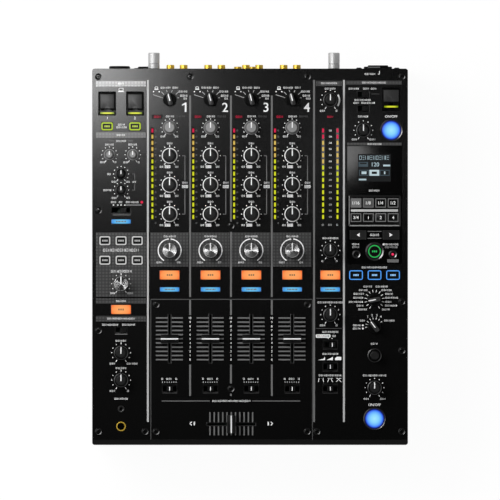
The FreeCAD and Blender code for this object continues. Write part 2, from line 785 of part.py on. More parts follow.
def make_top_panel():
    slab = rounded_slab("panel_slab", UNDER_Z, "panel_thickness")
    bevel = DOC.addObject("Part::Wedge", "front_bevel")
    bind(bevel, Xmin="0", X2min="0", Xmax=WIDTH, X2max=WIDTH, Ymin="0", Ymax="bevel_run",
         Zmin="0 - bevel_drop", Zmax="bevel_drop", Z2min="0", Z2max="bevel_drop")
    place(bevel, LEFT_EDGE, FRONT_Y, TOP_Z)
    tools = [bevel]
    for knob in KNOBS:
        tools.append(rod(f"{knob.node}_hole", knob.x, row_y(knob.row), f"{UNDER_Z} - panel_thickness",
                         "shaft_radius + shaft_clearance", TALL))
    tools += [key_hole(key) for key in KEYS]
    tools += [round_key_hole(key) for key in ROUND_KEYS]
    tools += [switch_hole(switch) for switch in SWITCHES if not switch.plate]
    for number, (x, y) in enumerate(PANEL_SCREWS, start=1):
        tools.append(screw_hole(f"panel_screw_hole_{number}", x, y))
    for number, x in enumerate(METERS, start=1):
        tools.append(meter_block(f"meter_slot_{number}", x, f"{UNDER_Z} - panel_thickness", TALL,
                                 "meter_clearance"))
    for name, x, row in WELLS:
        tools.append(block(f"{name}_mouth", x, row_y(row), f"{UNDER_Z} - panel_thickness",
                           "well_width", "well_length", TALL))
    tools.append(plate_block("plate_recess", f"{TOP_Z} - fader_plate_thickness", "0 - seat_clearance",
                             "2 * fader_plate_thickness"))
    tools.append(plate_block("plate_window", f"{UNDER_Z} - panel_thickness", "fader_plate_ledge", TALL))
    tools.append(bezel_block("bezel_seat", f"{TOP_Z} - bezel_recess", "seat_clearance",
                             "2 * bezel_thickness"))
    for name, row, nut in (("small", SMALL_JACK_ROW, "jack_small_nut"),
                           ("large", LARGE_JACK_ROW, "jack_large_nut")):
        tools.append(rod(f"{name}_jack_hole", LEFT_X, row_y(row), f"{UNDER_Z} - panel_thickness",
                         f"{nut} + socket_clearance", TALL))
    node(cut("panel_sheet", slab, tools), "top_panel")


def plate_block(name, z, inset, height):
    """A block over the fader plate's outline, drawn in by the inset."""
    width = f"{PLATE_RIGHT} - ({PLATE_LEFT}) - 2 * ({inset})"
    length = f"{PANEL_FRONT_ROW} - ({PLATE_REAR_ROW}) - seat_clearance - 2 * ({inset})"
    rear = f"{REAR_Y} - ({PLATE_REAR_ROW}) - ({inset})"
    middle_x = f"({PLATE_LEFT} + {PLATE_RIGHT}) / 2"
    return block(name, middle_x, f"{rear} - ({length}) / 2", z, width, length, height)


def make_fader_plate():
    plate = plate_block("plate_sheet", PLATE_Z, "0", "fader_plate_thickness")
    tools = [switch_hole(switch) for switch in SWITCHES if switch.plate]
    slot_length = "2 * fader_travel + fader_blade_length + 2 * key_clearance"
    slot_width = "fader_blade_width + 2 * key_clearance"
    for channel in CHANNELS:
        tools.append(block(f"fader_slot_{channel + 1}", channel_x(channel), row_y(FADER_ROW),
                           f"{UNDER_Z} - panel_thickness", slot_width, slot_length, TALL))
    tools.append(block("crossfader_slot", CROSSFADER_X, row_y(CROSSFADER_ROW), f"{UNDER_Z} - panel_thickness",
                       slot_length, slot_width, TALL))
    for number, (x, y) in enumerate(PLATE_SCREWS, start=1):
        tools.append(screw_hole(f"plate_screw_hole_{number}", x, y))
    node(cut("plate_cut", plate, tools), "fader_plate")


def make_screws():
    screws = []
    for number, (x, y) in enumerate(SCREWS, start=1):
        shank = rod(f"shank_{number}", x, y, f"{TOP_Z} - screw_length", "screw_shank_radius",
                    "screw_length")
        head = rod(f"head_{number}", x, y, TOP_Z, "screw_head_radius", "screw_head_height")
        socket = DOC.addObject("Part::Prism", f"socket_{number}")
        bind(socket, Circumradius="screw_socket_radius", Height="2 * screw_socket_depth")
        place(socket, x, y, f"{TOP_Z} + screw_head_height - screw_socket_depth")
        screws.append(cut(f"screw_{number}", join(f"blank_{number}", [shank, head]), [socket]))
    node(gather("screws", screws), "panel_screws")


# Display bezel and meters

def bezel_block(name, z, grow, height):
    middle = row_y(f"{BEZEL_REAR_ROW} + bezel_length / 2")
    return block(name, EFFECTS_X, middle, z, f"bezel_width + 2 * {grow}", f"bezel_length + 2 * {grow}",
                 height)


def meter_block(name, x, z, height, grow):
    middle = row_y(f"{METER_REAR_ROW} + meter_length / 2")
    return block(name, x, middle, z, f"meter_width + 2 * {grow}", f"meter_length + 2 * {grow}", height)


def make_lenses():
    bezel = bezel_block("bezel_plate", f"{TOP_Z} - bezel_recess", "0", "bezel_thickness")
    tools = []
    for key in KEYS:
        if key.name.startswith("beat_key"):
            tools.append(block(f"{key.name}_window", key.x, row_y(key.row), UNDER_Z,
                               f"{key.width} + 2 * key_clearance", f"{key.length} + 2 * key_clearance", TALL))
    for key in BEZEL_ROUND_KEYS:
        tools.append(rod(f"{key.name}_window", key.x, row_y(key.row), UNDER_Z,
                         f"{key.radius} + key_clearance", TALL))
    lenses = [cut("bezel", bezel, tools)]
    for number, x in enumerate(METERS, start=1):
        lenses.append(meter_block(f"meter_{number}", x, BOARD_Z, f"{TOP_Z} - ({BOARD_Z})", "0"))
    node(gather("lenses", lenses), "display_and_meter_lenses")


# Rotary controls

def pointer_pocket(body, name, inner, outer, height):
    half = "pointer_width / 2"
    corners = [(f"0 - {half}", inner), (half, inner), (half, outer), (f"0 - {half}", outer)]
    sketch = polygon(body, "XY_Plane", f"{name}_pointer", corners)
    sketch.setExpression("AttachmentOffset.Base.z", sized(height))
    pocket = body.newObject("PartDesign::Pocket", f"{name}_pointer_groove")
    pocket.Profile = sketch
    bind(pocket, Length="pointer_depth")


def turn(body, name, profile):
    sketch = polygon(body, "XZ_Plane", f"{name}_profile", profile)
    feature = body.newObject("PartDesign::Revolution", f"{name}_turned")
    feature.Profile = sketch
    feature.ReferenceAxis = (sketch, ["V_Axis"])
    feature.Angle = 360


SHAFT_FOOT = "pot_height + pot_clearance - board_drop - panel_thickness"


def make_knob(knob):
    body = DOC.addObject("PartDesign::Body", knob.node)
    kind = knob.kind
    skirt_top = f"knob_gap + {kind}_skirt_height"
    skirt = [
        ("0", SHAFT_FOOT),
        ("shaft_radius", SHAFT_FOOT),
        ("shaft_radius", "knob_gap"),
        (f"{kind}_skirt_radius", "knob_gap"),
        (f"{kind}_skirt_radius", skirt_top),
    ]
    if kind == "selector":
        turn(body, knob.node, skirt + [("0", skirt_top)])
        bar = polygon(body, "XY_Plane", f"{knob.node}_bar",
                      rectangle("selector_bar_width", "2 * selector_skirt_radius - selector_bar_width / 2"))
        bar.setExpression("AttachmentOffset.Base.z", sized("knob_gap"))
        pad(body, bar, f"{knob.node}_grip", "selector_height - knob_gap")
        bar_end = "selector_skirt_radius - selector_bar_width / 2"
        pointer_pocket(body, knob.node, "0", bar_end, "selector_height")
    else:
        cap = [
            (f"{kind}_cap_radius + knob_draft", skirt_top),
            (f"{kind}_cap_radius", f"{kind}_height"),
            ("0", f"{kind}_height"),
        ]
        turn(body, knob.node, skirt + cap)
        pointer_pocket(body, knob.node, f"{kind}_cap_radius * pointer_inner_share",
                       f"{kind}_cap_radius * pointer_outer_share", f"{kind}_height")
    place(body, knob.x, row_y(knob.row), TOP_Z)
    body.setExpression("Placement.Rotation.Angle", sized(knob.turn) + " * 1 deg")
    node(body, knob.node)


# Faders

def make_fader(name, x, row, quarter_turn):
    body = DOC.addObject("PartDesign::Body", name)
    cap = [
        ("0 - fader_cap_length / 2", "knob_gap"),
        ("fader_cap_length / 2", "knob_gap"),
        ("fader_cap_length / 2", "fader_cap_side"),
        ("fader_cap_ridge / 2", "fader_cap_height"),
        ("0 - fader_cap_ridge / 2", "fader_cap_height"),
        ("0 - fader_cap_length / 2", "fader_cap_side"),
    ]
    pad(body, polygon(body, "YZ_Plane", f"{name}_side", cap), f"{name}_cap", "fader_cap_width", True)
    foot = "fader_unit_height + pot_clearance - board_drop - panel_thickness"
    blade = [
        ("0 - fader_blade_length / 2", foot),
        ("fader_blade_length / 2", foot),
        ("fader_blade_length / 2", "2 * knob_gap"),
        ("0 - fader_blade_length / 2", "2 * knob_gap"),
    ]
    pad(body, polygon(body, "YZ_Plane", f"{name}_tongue", blade), f"{name}_blade", "fader_blade_width", True)
    if quarter_turn:
        body.Placement.Rotation = FreeCAD.Rotation(FreeCAD.Vector(0, 0, 1), 90)
    place(body, x, row_y(row), TOP_Z)
    node(body, name)


# Keys and slide switches

def make_key(key):
    cap_height = "key_proud + panel_thickness + key_depth"
    bottom = f"{UNDER_Z} - key_depth"
    cap = block(f"{key.name}_cap", key.x, row_y(key.row), bottom, key.width, key.length, cap_height)
    flange = block(f"{key.name}_flange", key.x, row_y(key.row), bottom, f"{key.width} + 2 * key_flange",
                   f"{key.length} + 2 * key_flange", "key_flange_thickness")
    return join(key.name, [cap, flange])


def make_round_key(key):
    bottom = f"{UNDER_Z} - key_depth"
    cap = rod(f"{key.name}_cap", key.x, row_y(key.row), bottom, key.radius,
              "key_proud + panel_thickness + key_depth")
    flange = rod(f"{key.name}_flange", key.x, row_y(key.row), bottom, f"{key.radius} + key_flange",
                 "key_flange_thickness")
    return join(key.name, [cap, flange])


def make_keys():
    for group in ("cue_buttons", "assign_buttons", "key_buttons"):
        keys = [make_key(key) for key in KEYS if key.group == group]
        keys += [make_round_key(key) for key in ROUND_KEYS if key.group == group]
        node(gather(f"{group}_set", keys), group)


def make_switches():
    for group in ("three_way_switches", "two_way_switches"):
        handles = []
        for switch in SWITCHES:
            if switch.group == group:
                handles.append(block(switch.name, f"{switch.x} + {switch.offset}", row_y(switch.row),
                                     f"{UNDER_Z} - handle_depth", "handle_length", "handle_width",
                                     "handle_depth + panel_thickness + handle_proud"))
        node(gather(f"{group}_set", handles), group)


# Covered ports

def lid_rear(row):
    return f"{REAR_Y} - ({row}) + well_length / 2 - lid_clearance"


def make_lid(name, x, row):
    rear = lid_rear(row)
    plate = block(f"{name}_plate", x, f"{rear} - lid_hinge_radius - lid_length / 2",
                  f"{TOP_Z} - lid_thickness", lid_width(), "lid_length", "lid_thickness")
    hinge = cross_rod(f"{name}_hinge", x, f"{rear} - lid_hinge_radius", f"{TOP_Z} - lid_hinge_radius",
                      "lid_hinge_radius", lid_width())
    notch = rod(f"{name}_finger_notch", x, f"{rear} - lid_hinge_radius - lid_length", UNDER_Z,
                "lid_notch_radius", TALL)
    return cut(f"{name}_lid", join(f"{name}_blank", [plate, hinge]), [notch])


def make_lids():
    lids = [make_lid(name, x, row) for name, x, row in WELLS]
    node(gather("lids", lids[:2]), "usb_covers")
    node(lids[2], "aux_usb_cover")


def make_well(name, x, row):
    y = row_y(row)
    bottom = f"{UNDER_Z} - well_depth"
    outer = block(f"{name}_well_outer", x, y, bottom, "well_width + 2 * well_wall",
                  "well_length + 2 * well_wall", "well_depth")
    inner = block(f"{name}_well_inner", x, y, f"{bottom} + well_wall", "well_width", "well_length",
                  "well_depth")
    port = block(f"{name}_port_outer", x, y, f"{bottom} + well_wall / 2", "port_width", "port_length",
                 "port_height + well_wall / 2")
    slot = block(f"{name}_port_slot", x, y, f"{bottom} + 2 * well_wall", "port_width - 2 * port_wall",
                 "port_length - 2 * port_wall", "well_depth")
    return cut(f"{name}_well", join(f"{name}_cup", [cut(f"{name}_bowl", outer, [inner]), port]), [slot])


# Headphone jacks

def make_jack(name, row, kind):
    y = row_y(row)
    nut = rod(f"{name}_nut", LEFT_X, y, f"{UNDER_Z} - jack_depth / 2", f"{kind}_nut",
              "jack_depth / 2 + panel_thickness + jack_proud")
    body = block(f"{name}_body", LEFT_X, y, f"{UNDER_Z} - jack_depth", f"{kind}_body", f"{kind}_body",
                 "jack_depth")
    bore = rod(f"{name}_bore", LEFT_X, y, f"{TOP_Z} + jack_proud - jack_bore_depth", f"{kind}_bore",
               "2 * jack_bore_depth")
    return cut(name, join(f"{name}_blank", [nut, body]), [bore])


# Rear sockets: name, x, height, barrel radius, bore radius, reach behind the wall

RearSocket = namedtuple("RearSocket", "name x z radius bore reach")


def rear_sockets():
    sockets = []
    for channel in CHANNELS:
        for column in (0, 1):
            x = f"0 - phono_start + {channel} * phono_pitch + {column} * phono_spacing"
            for level in ("upper", "middle"):
                sockets.append(RearSocket(f"phono_{channel + 1}_{column + 1}_{level}", x, f"{level}_height",
                                          "phono_radius", "phono_bore", "phono_reach"))
    for column in (0, 1):
        sockets.append(RearSocket(f"coaxial_{column + 1}", f"0 - coaxial_start + {column} * coaxial_pitch",
                                  "lower_height", "phono_radius", "phono_bore", "coaxial_reach"))
        sockets.append(RearSocket(f"master_out_{column + 1}",
                                  f"0 - round_socket_offset + {column} * round_socket_pitch", "lower_height",
                                  "round_socket_radius", "round_socket_bore", "round_socket_reach"))
        sockets.append(RearSocket(f"booth_out_{column + 1}", f"0 - booth_offset + {column} * booth_pitch",
                                  "lower_height", "jack_socket_radius", "jack_large_bore", "coaxial_reach"))
    sockets.append(RearSocket("mic_in_1", "0 - round_socket_offset", "upper_height", "round_socket_radius",
                              "round_socket_bore", "round_socket_reach"))
    sockets.append(RearSocket("mic_in_2", "0 - jack_socket_offset", "upper_height", "jack_socket_radius",
                              "jack_large_bore", "coaxial_reach"))
    return sockets


TERMINALS = [("ground_left", "0 - terminal_left"), ("ground_right", "terminal_right")]
SOCKET_FRONT_Y = f"{REAR_INSIDE_Y} - socket_depth"


def rear_openings():
    tools = []
    for socket in rear_sockets():
        tools.append(rear_rod(f"{socket.name}_opening", socket.x, SOCKET_FRONT_Y, socket.z,
                              f"{socket.radius} + socket_clearance", "2 * socket_depth"))
    for name, x in TERMINALS:
        tools.append(rear_rod(f"{name}_opening", x, SOCKET_FRONT_Y, "upper_height",
                              "terminal_neck_radius + socket_clearance", "2 * socket_depth"))
    tools.append(block("inlet_opening", "inlet_offset", REAR_Y, "lower_height - inlet_height / 2 - inlet_rim"
                       " - socket_clearance", "inlet_width + 2 * inlet_rim + 2 * socket_clearance",
                       "4 * chassis_wall", "inlet_height + 2 * inlet_rim + 2 * socket_clearance"))
    tools.append(block("rocker_opening", "rocker_offset", REAR_Y,
                       "upper_height - rocker_radius - rocker_clearance",
                       "rocker_width + 2 * rocker_clearance", "4 * chassis_wall",
                       "2 * rocker_radius + 2 * rocker_clearance"))
    return tools


def make_rear_socket(socket):
    barrel = rear_rod(f"{socket.name}_barrel", socket.x, SOCKET_FRONT_Y, socket.z, socket.radius,
                      f"socket_depth + chassis_wall + {socket.reach}")
    flange = rear_rod(f"{socket.name}_flange", socket.x, f"{REAR_INSIDE_Y} - socket_flange_thickness",
                      socket.z, f"{socket.radius} + socket_flange", "socket_flange_thickness")
    bore = rear_rod(f"{socket.name}_bore", socket.x, f"{SOCKET_FRONT_Y} + socket_flange_thickness", socket.z,
                    socket.bore, "2 * socket_depth")
    return cut(socket.name, join(f"{socket.name}_blank", [barrel, flange]), [bore])


def make_terminal(name, x):
    neck = rear_rod(f"{name}_neck", x, SOCKET_FRONT_Y, "upper_height", "terminal_neck_radius",
                    "socket_depth + chassis_wall + terminal_neck_reach")
    flange = rear_rod(f"{name}_flange", x, f"{REAR_INSIDE_Y} - socket_flange_thickness", "upper_height",
                      "terminal_radius", "socket_flange_thickness")
    grip = rear_rod(f"{name}_grip", x, f"{REAR_Y} + terminal_neck_reach", "upper_height", "terminal_radius",
                    "terminal_reach - terminal_neck_reach")
    return join(name, [neck, flange, grip])


def make_inlet():
    bottom = "lower_height - inlet_height / 2"
    length = "inlet_depth + chassis_wall + inlet_reach"
    middle = f"{REAR_INSIDE_Y} - inlet_depth + ({length}) / 2"
    shell = block("inlet_shell", "inlet_offset", middle, f"{bottom} - inlet_rim",
                  "inlet_width + 2 * inlet_rim", length, "inlet_height + 2 * inlet_rim")
    flange = block("inlet_flange", "inlet_offset", f"{REAR_INSIDE_Y} - inlet_rim / 2",
                   f"{bottom} - 2 * inlet_rim", "inlet_width + 4 * inlet_rim", "inlet_rim",
                   "inlet_height + 4 * inlet_rim")
    hollow = block("inlet_hollow", "inlet_offset", f"{middle} + inlet_rim", bottom, "inlet_width", length,
                   "inlet_height")
    case = cut("inlet_case", join("inlet_blank", [shell, flange]), [hollow])
    pins = []
    for side, name in ((-1, "left"), (0, "middle"), (1, "right")):
        pins.append(block(f"inlet_{name}_pin", f"inlet_offset + {side} * inlet_width / 4",
                          f"{REAR_INSIDE_Y} - inlet_depth / 2", "lower_height - inlet_rim", "inlet_rim",
                          "inlet_depth", "2 * inlet_rim"))
    return join("inlet", [case] + pins)


def make_sockets():
    sockets = [make_rear_socket(socket) for socket in rear_sockets()]
    sockets += [make_terminal(name, x) for name, x in TERMINALS]
    sockets.append(make_inlet())
    sockets += [make_well(name, x, row) for name, x, row in WELLS]
    sockets.append(make_jack("headphone_jack_small", SMALL_JACK_ROW, "jack_small"))
    sockets.append(make_jack("headphone_jack_large", LARGE_JACK_ROW, "jack_large"))
    node(gather("all_sockets", sockets), "sockets")


def make_power_switch():
    body = DOC.addObject("PartDesign::Body", "power_rocker")
    rocker = [
        ("rocker_end", "rocker_half_height"),
        ("rocker_crest", "0"),
        ("rocker_end", "0 - rocker_half_height"),
        ("0 - rocker_back", "0 - rocker_back_half_height"),
        ("0 - rocker_back", "rocker_back_half_height"),
    ]
    pad(body, polygon(body, "YZ_Plane", "rocker_side", rocker), "rocker_pad", "rocker_width", True)
    body.Placement.Rotation = FreeCAD.Rotation(FreeCAD.Vector(-1, 0, 0), value("rocker_tilt"))
    body.setExpression("Placement.Rotation.Angle", sized("rocker_tilt") + " * 1 deg")
    place(body, "rocker_offset", f"{REAR_Y} - rocker_sink", "upper_height")
    node(body, "power_switch")


# Boards and what is soldered to them

def control_board():
    length = f"{BODY_DEPTH} - board_rear_inset - board_front_inset"
    return block("control_board", "0", f"{REAR_Y} - board_rear_inset - ({length}) / 2",
                 f"{BOARD_Z} - board_thickness", f"{WIDTH} - 2 * board_side_inset", length, "board_thickness")


def main_board():
    floor = f"{FLOOR_Z} + chassis_wall"
    x = f"{LEFT_EDGE} + main_board_inset + main_board_width / 2"
    y = row_y("main_board_row + main_board_length / 2")
    parts = [block("main_board", x, y, f"{floor} + main_board_lift", "main_board_width", "main_board_length",
                   "board_thickness")]
    for side in (-1, 1):
        for end in (-1, 1):
            post_x = f"{x} + {side} * (main_board_width / 2 - post_radius)"
            post_y = f"{y} + {end} * (main_board_length / 2 - post_radius)"
            parts.append(rod(f"board_post_{len(parts)}", post_x, post_y, floor, "post_radius",
                             "main_board_lift"))
    return parts


def power_supply():
    return block("power_supply", f"{RIGHT_EDGE} - supply_inset - supply_width / 2",
                 row_y("main_board_row + supply_length / 2"), f"{FLOOR_Z} + chassis_wall", "supply_width",
                 "supply_length", "supply_height")


def fader_unit(name, x, row, along_x):
    length = "2 * fader_travel + fader_unit_width"
    width = "fader_unit_width"
    if along_x:
        length, width = width, length
    return block(name, x, row_y(row), BOARD_Z, width, length, "fader_unit_height")


def centre_post(name, spot, height):
    x, y = spot
    post = rod(f"{name}_blank", x, y, BOARD_Z, "post_radius", height)
    thread = rod(f"{name}_thread", x, y, f"{TOP_Z} - screw_length - screw_clearance",
                 "screw_shank_radius + screw_clearance", "2 * screw_length")
    return cut(name, post, [thread])


def make_boards():
    parts = [control_board(), power_supply()] + main_board()
    for knob in KNOBS:
        parts.append(block(f"{knob.node}_pot", knob.x, row_y(knob.row), BOARD_Z, "pot_width", "pot_width",
                           "pot_height"))
    key_switch_height = "board_drop - key_depth - key_travel - pot_clearance"
    for key in KEYS + ROUND_KEYS:
        length = "assign_key_length" if "assign_key_length" in key else "switch_width"
        parts.append(block(f"{key.name}_contact", key.x, row_y(key.row), BOARD_Z, "switch_width", length,
                           key_switch_height))
    for switch in SWITCHES:
        parts.append(block(f"{switch.name}_body", switch.x, row_y(switch.row), BOARD_Z,
                           "handle_length + 4 * key_clearance", "handle_width",
                           "board_drop - handle_depth - pot_clearance"))
    for channel in CHANNELS:
        parts.append(fader_unit(f"fader_unit_{channel + 1}", channel_x(channel), FADER_ROW, False))
    parts.append(fader_unit("crossfader_unit", CROSSFADER_X, CROSSFADER_ROW, True))
    parts.append(centre_post("upper_post", UPPER_CENTRE_SCREW, "board_drop"))
    parts.append(centre_post("lower_post", LOWER_CENTRE_SCREW,
                             "board_drop + panel_thickness - fader_plate_thickness"))
    node(gather("boards", parts), "control_boards")


def check(parts):
    for item in DOC.Objects:
        if "Invalid" in item.State or "Error" in item.State:
            raise RuntimeError(f"{item.Label} failed: {item.State}")
    for part in parts:
        if part.Shape.isNull() or not part.Shape.isValid():
            raise RuntimeError(f"{part.Label} has no valid shape")


make_chassis()
make_feet()
make_top_panel()
make_fader_plate()
make_screws()
make_lenses()
make_boards()
make_sockets()
for knob in KNOBS:
    make_knob(knob)
for channel in CHANNELS:
    make_fader(f"channel_fader_{channel + 1}", channel_x(channel), FADER_ROW, False)
make_fader("crossfader", CROSSFADER_X, CROSSFADER_ROW, True)
make_keys()
make_switches()
make_lids()
make_power_switch()
DOC.recompute()
check(NODES)

os.makedirs("parts", exist_ok=True)
for part in NODES:
    part.Shape.exportStep(f"parts/{part.Label}.step")
print(len(NODES), "nodes written")
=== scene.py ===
import math
from collections import namedtuple

import bmesh
import bpy
from mathutils import Matrix, Vector


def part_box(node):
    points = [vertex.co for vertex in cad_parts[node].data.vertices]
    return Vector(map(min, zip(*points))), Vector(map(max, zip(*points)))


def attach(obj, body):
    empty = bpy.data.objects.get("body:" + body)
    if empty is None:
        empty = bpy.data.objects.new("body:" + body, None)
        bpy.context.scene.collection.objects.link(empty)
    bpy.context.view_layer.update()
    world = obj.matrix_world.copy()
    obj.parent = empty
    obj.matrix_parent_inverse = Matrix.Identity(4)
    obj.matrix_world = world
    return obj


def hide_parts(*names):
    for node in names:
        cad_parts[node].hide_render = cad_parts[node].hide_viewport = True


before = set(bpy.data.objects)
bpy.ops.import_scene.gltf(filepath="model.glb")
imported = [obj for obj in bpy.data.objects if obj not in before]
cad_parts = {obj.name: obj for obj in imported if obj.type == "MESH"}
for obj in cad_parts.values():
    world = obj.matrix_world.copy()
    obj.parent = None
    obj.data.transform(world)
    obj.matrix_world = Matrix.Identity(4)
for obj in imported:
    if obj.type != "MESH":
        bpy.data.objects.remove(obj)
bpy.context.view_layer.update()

# Lengths are millimetres in the shared frame; a finished mesh is scaled to metres
MM = 0.001
CASE = "mixer_body"
CHANNELS = (1, 2, 3, 4)
RIM_STEPS = 96
SHARP_ANGLE = math.radians(38)
INK_HEIGHT = 0.05


# Places, read from the CAD

def box_of(node):
    return [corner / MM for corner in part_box(node)]


def middle_of(box):
    return (box[0] + box[1]) / 2


def size_of(box):
    return box[1] - box[0]


def at(node):
    return middle_of(box_of(node))


def mount(box):
    """Middle of a box at panel height, half its width and length, its foot and top above the panel."""
    place = middle_of(box)
    place.z = TOP
    half = size_of(box) / 2
    return place, half.x, half.y, box[0].z - TOP, box[1].z - TOP


def solids(node):
    """Lowest and highest corner of each separate solid of a node."""
    mesh = bmesh.new()
    mesh.from_mesh(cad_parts[node].data)
    bmesh.ops.remove_doubles(mesh, verts=mesh.verts, dist=MM * MM)
    waiting = set(mesh.verts)
    boxes = []
    while waiting:
        edge = [waiting.pop()]
        found = []
        while edge:
            corner = edge.pop()
            found.append(corner.co / MM)
            linked = {link.other_vert(corner) for link in corner.link_edges} & waiting
            waiting -= linked
            edge.extend(linked)
        low, high = [[pick(place[axis] for place in found) for axis in range(3)] for pick in (min, max)]
        boxes.append((Vector(low), Vector(high)))
    mesh.free()
    return sorted(boxes, key=lambda box: [round(part) for part in box[0]])


TOP = box_of("top_panel")[1].z
BEZEL_TOP = box_of("display_and_meter_lenses")[1].z
FRONT_Y, REAR_Y = [corner.y for corner in box_of("top_panel")]
PLATE_REAR = box_of("fader_plate")[1].y
LEFT_X = at("parameter_knob").x
MASTER_X = at("balance_knob").x
EFFECTS_X = at("time_knob").x
CHANNEL_X = {number: at(f"trim_knob_{number}").x for number in CHANNELS}
CHANNEL_PITCH = CHANNEL_X[2] - CHANNEL_X[1]

# Slide switches nearer than this to the middle of a column belong to it
NEAR = 5.0
THREE_WAY = [middle_of(box) for box in solids("three_way_switches")]
TWO_WAY = [middle_of(box) for box in solids("two_way_switches")]
CROSSFADE_Y = min(spot.y for spot in THREE_WAY)
MIC_SWITCH_Y = max(spot.y for spot in THREE_WAY)
CURVE_ROWS = sorted({round(spot.y, 2) for spot in THREE_WAY + TWO_WAY if abs(spot.x - MASTER_X) < NEAR})
HEADPHONE_SWITCH_Y = [spot.y for spot in TWO_WAY if spot.x < LEFT_X + NEAR][0]
AUX_X = at("send_level_knob").x
AUX_ROWS = [spot.y for spot in TWO_WAY if spot.x > MASTER_X + 2 * NEAR]

# Keys are told apart by their sizes, and those of the USB ports by their place behind a line
WIDE_KEY = 18.0
LARGE_ROUND = 15.0
USB_KEYS_FROM = 100.0
DARK_KEYS = solids("key_buttons")
USB_KEY_Y = [middle_of(box).y for box in DARK_KEYS if box[0].y > USB_KEYS_FROM][0]
BEAT_Y = [middle_of(box).y for box in DARK_KEYS if size_of(box).x > WIDE_KEY and box[0].x > MASTER_X][0]
ROUND_KEYS = [middle_of(box) for box in solids("assign_buttons") if size_of(box).y > LARGE_ROUND]
REAR_ROUND_X = max(ROUND_KEYS, key=lambda spot: spot.y).x

# Fader scales and slots
FADER_Y = at("channel_fader_1").y
SCALE_STEPS, SCALE_PITCH = 10, 4.4
SCALE_REAR = FADER_Y + SCALE_STEPS / 2 * SCALE_PITCH
FADER_ROWS = [SCALE_REAR - SCALE_PITCH * step for step in range(SCALE_STEPS + 1)]
SLOT_WIDTH, SLOT_LENGTH = 2.2, 50.6

# The glossy plate round the screen is the widest lens; the others are strips under the meters
LENSES = sorted(solids("display_and_meter_lenses"), key=lambda box: size_of(box).x)
BEZEL_Y = middle_of(LENSES[-1]).y
METER_STRIPS = sorted(LENSES[:-1], key=lambda box: box[0].x)
SEGMENT_COUNT, SEGMENT_PITCH = 15, 6.51
SEGMENT_WIDTH, SEGMENT_LENGTH = 2.0, 4.5
FIRST_SEGMENT_Y = at("trim_knob_1").y - 3.1


# Materials

def srgb(red, green, blue):
    """A colour as seen on screen, 0 to 255, as linear values."""
    shares = [part / 255 for part in (red, green, blue)]
    return tuple(part / 12.92 if part <= 0.04045 else ((part + 0.055) / 1.055) ** 2.4 for part in shares)


def grey(level):
    return (level, level, level)


def new_surface(name):
    made = bpy.data.materials.new(name)
    made.use_nodes = True
    return made, made.node_tree, made.node_tree.nodes["Principled BSDF"]


def feed(tree, socket, source):
    """Link an output to a socket, or set the socket to a value."""
    if isinstance(source, bpy.types.NodeSocket):
        tree.links.new(source, socket)
    else:
        socket.default_value = source


def dress(tree, node, **inputs):
    for name, source in inputs.items():
        feed(tree, node.inputs[name.replace("_", " ")], source)


def add(tree, kind, **inputs):
    """A node with its inputs set to values or linked to outputs."""
    node = tree.nodes.new(kind)
    dress(tree, node, **inputs)
    return node


def worked_out(tree, kind, operation, *sources):
    """The result of a math node on its inputs, in their order."""
    node = tree.nodes.new(kind)
    node.operation = operation
    for socket, source in zip(node.inputs, sources):
        feed(tree, socket, source)
    return node.outputs["Value"]


def place_in(tree):
    return add(tree, "ShaderNodeTexCoord").outputs["Object"]


def noise(tree, size, detail=2.0):
    """Soft noise whose grain has about this size in millimetres."""
    node = add(tree, "ShaderNodeTexNoise", Vector=place_in(tree), Scale=1 / (size * MM), Detail=detail)
    return node.outputs["Fac"]


def ramp(tree, share, stops):
    """Colours along a share from 0 to 1, as pairs of place and colour."""
    node = add(tree, "ShaderNodeValToRGB", Fac=share)
    elements = node.color_ramp.elements
    for number, (place, colour) in enumerate(stops):
        stop = elements[number] if number < len(elements) else elements.new(place)
        stop.position = place
        stop.color = (*colour, 1)
    return node.outputs["Color"]


def remap(tree, share, low, high):
    return add(tree, "ShaderNodeMapRange", Value=share, To_Min=low, To_Max=high).outputs["Result"]


def mottled(tree, share, colour, low, high):
    """A colour that goes from a darker to a lighter share of itself."""
    dark, light = [[part * level for part in colour] for level in (low, high)]
    return ramp(tree, share, [(0.3, dark), (0.7, light)])


def finish(name, colour, rough, grain=0.4, bump=0.02, metallic=0.0, edge=0.0, gloss=0.5):
    """A surface whose colour, roughness and height vary with a fine grain, in millimetres."""
    made, tree, surface = new_surface(name)
    share = noise(tree, grain, 3.0)
    relief = add(tree, "ShaderNodeBump", Height=share, Distance=bump * MM, Strength=1.0)
    if edge:
        dress(tree, relief, Normal=add(tree, "ShaderNodeBevel", Radius=edge * MM).outputs["Normal"])
    dress(tree, surface, Base_Color=mottled(tree, share, colour, 0.85, 1.15), Metallic=metallic,
          Roughness=remap(tree, share, rough - 0.05, rough + 0.05), Normal=relief.outputs["Normal"],
          Specular_IOR_Level=gloss)
    return made


def shine(tree, surface, light, gloss, rough):
    """Make a dark surface send out light of its own."""
    dress(tree, surface, Emission_Color=light, Emission_Strength=1.0, Base_Color=(0.01, 0.01, 0.01, 1),
          Specular_IOR_Level=gloss, Roughness=rough)


def glow(name, half_width, half_length, *stops):
    """A lit lens of this size, or a glow spill painted on a bezel: stops of share, red, green and blue from
    its middle to its rim.
    """
    made, tree, surface = new_surface(name)
    shares = (1 / (half_width * MM), 1 / (half_length * MM), 0)
    scaled = add(tree, "ShaderNodeMapping", Vector=place_in(tree), Scale=shares).outputs["Vector"]
    reach = worked_out(tree, "ShaderNodeVectorMath", "LENGTH", scaled)
    shine(tree, surface, ramp(tree, reach, [(share, srgb(*colour)) for share, *colour in stops]), 0.2, 0.25)
    return made


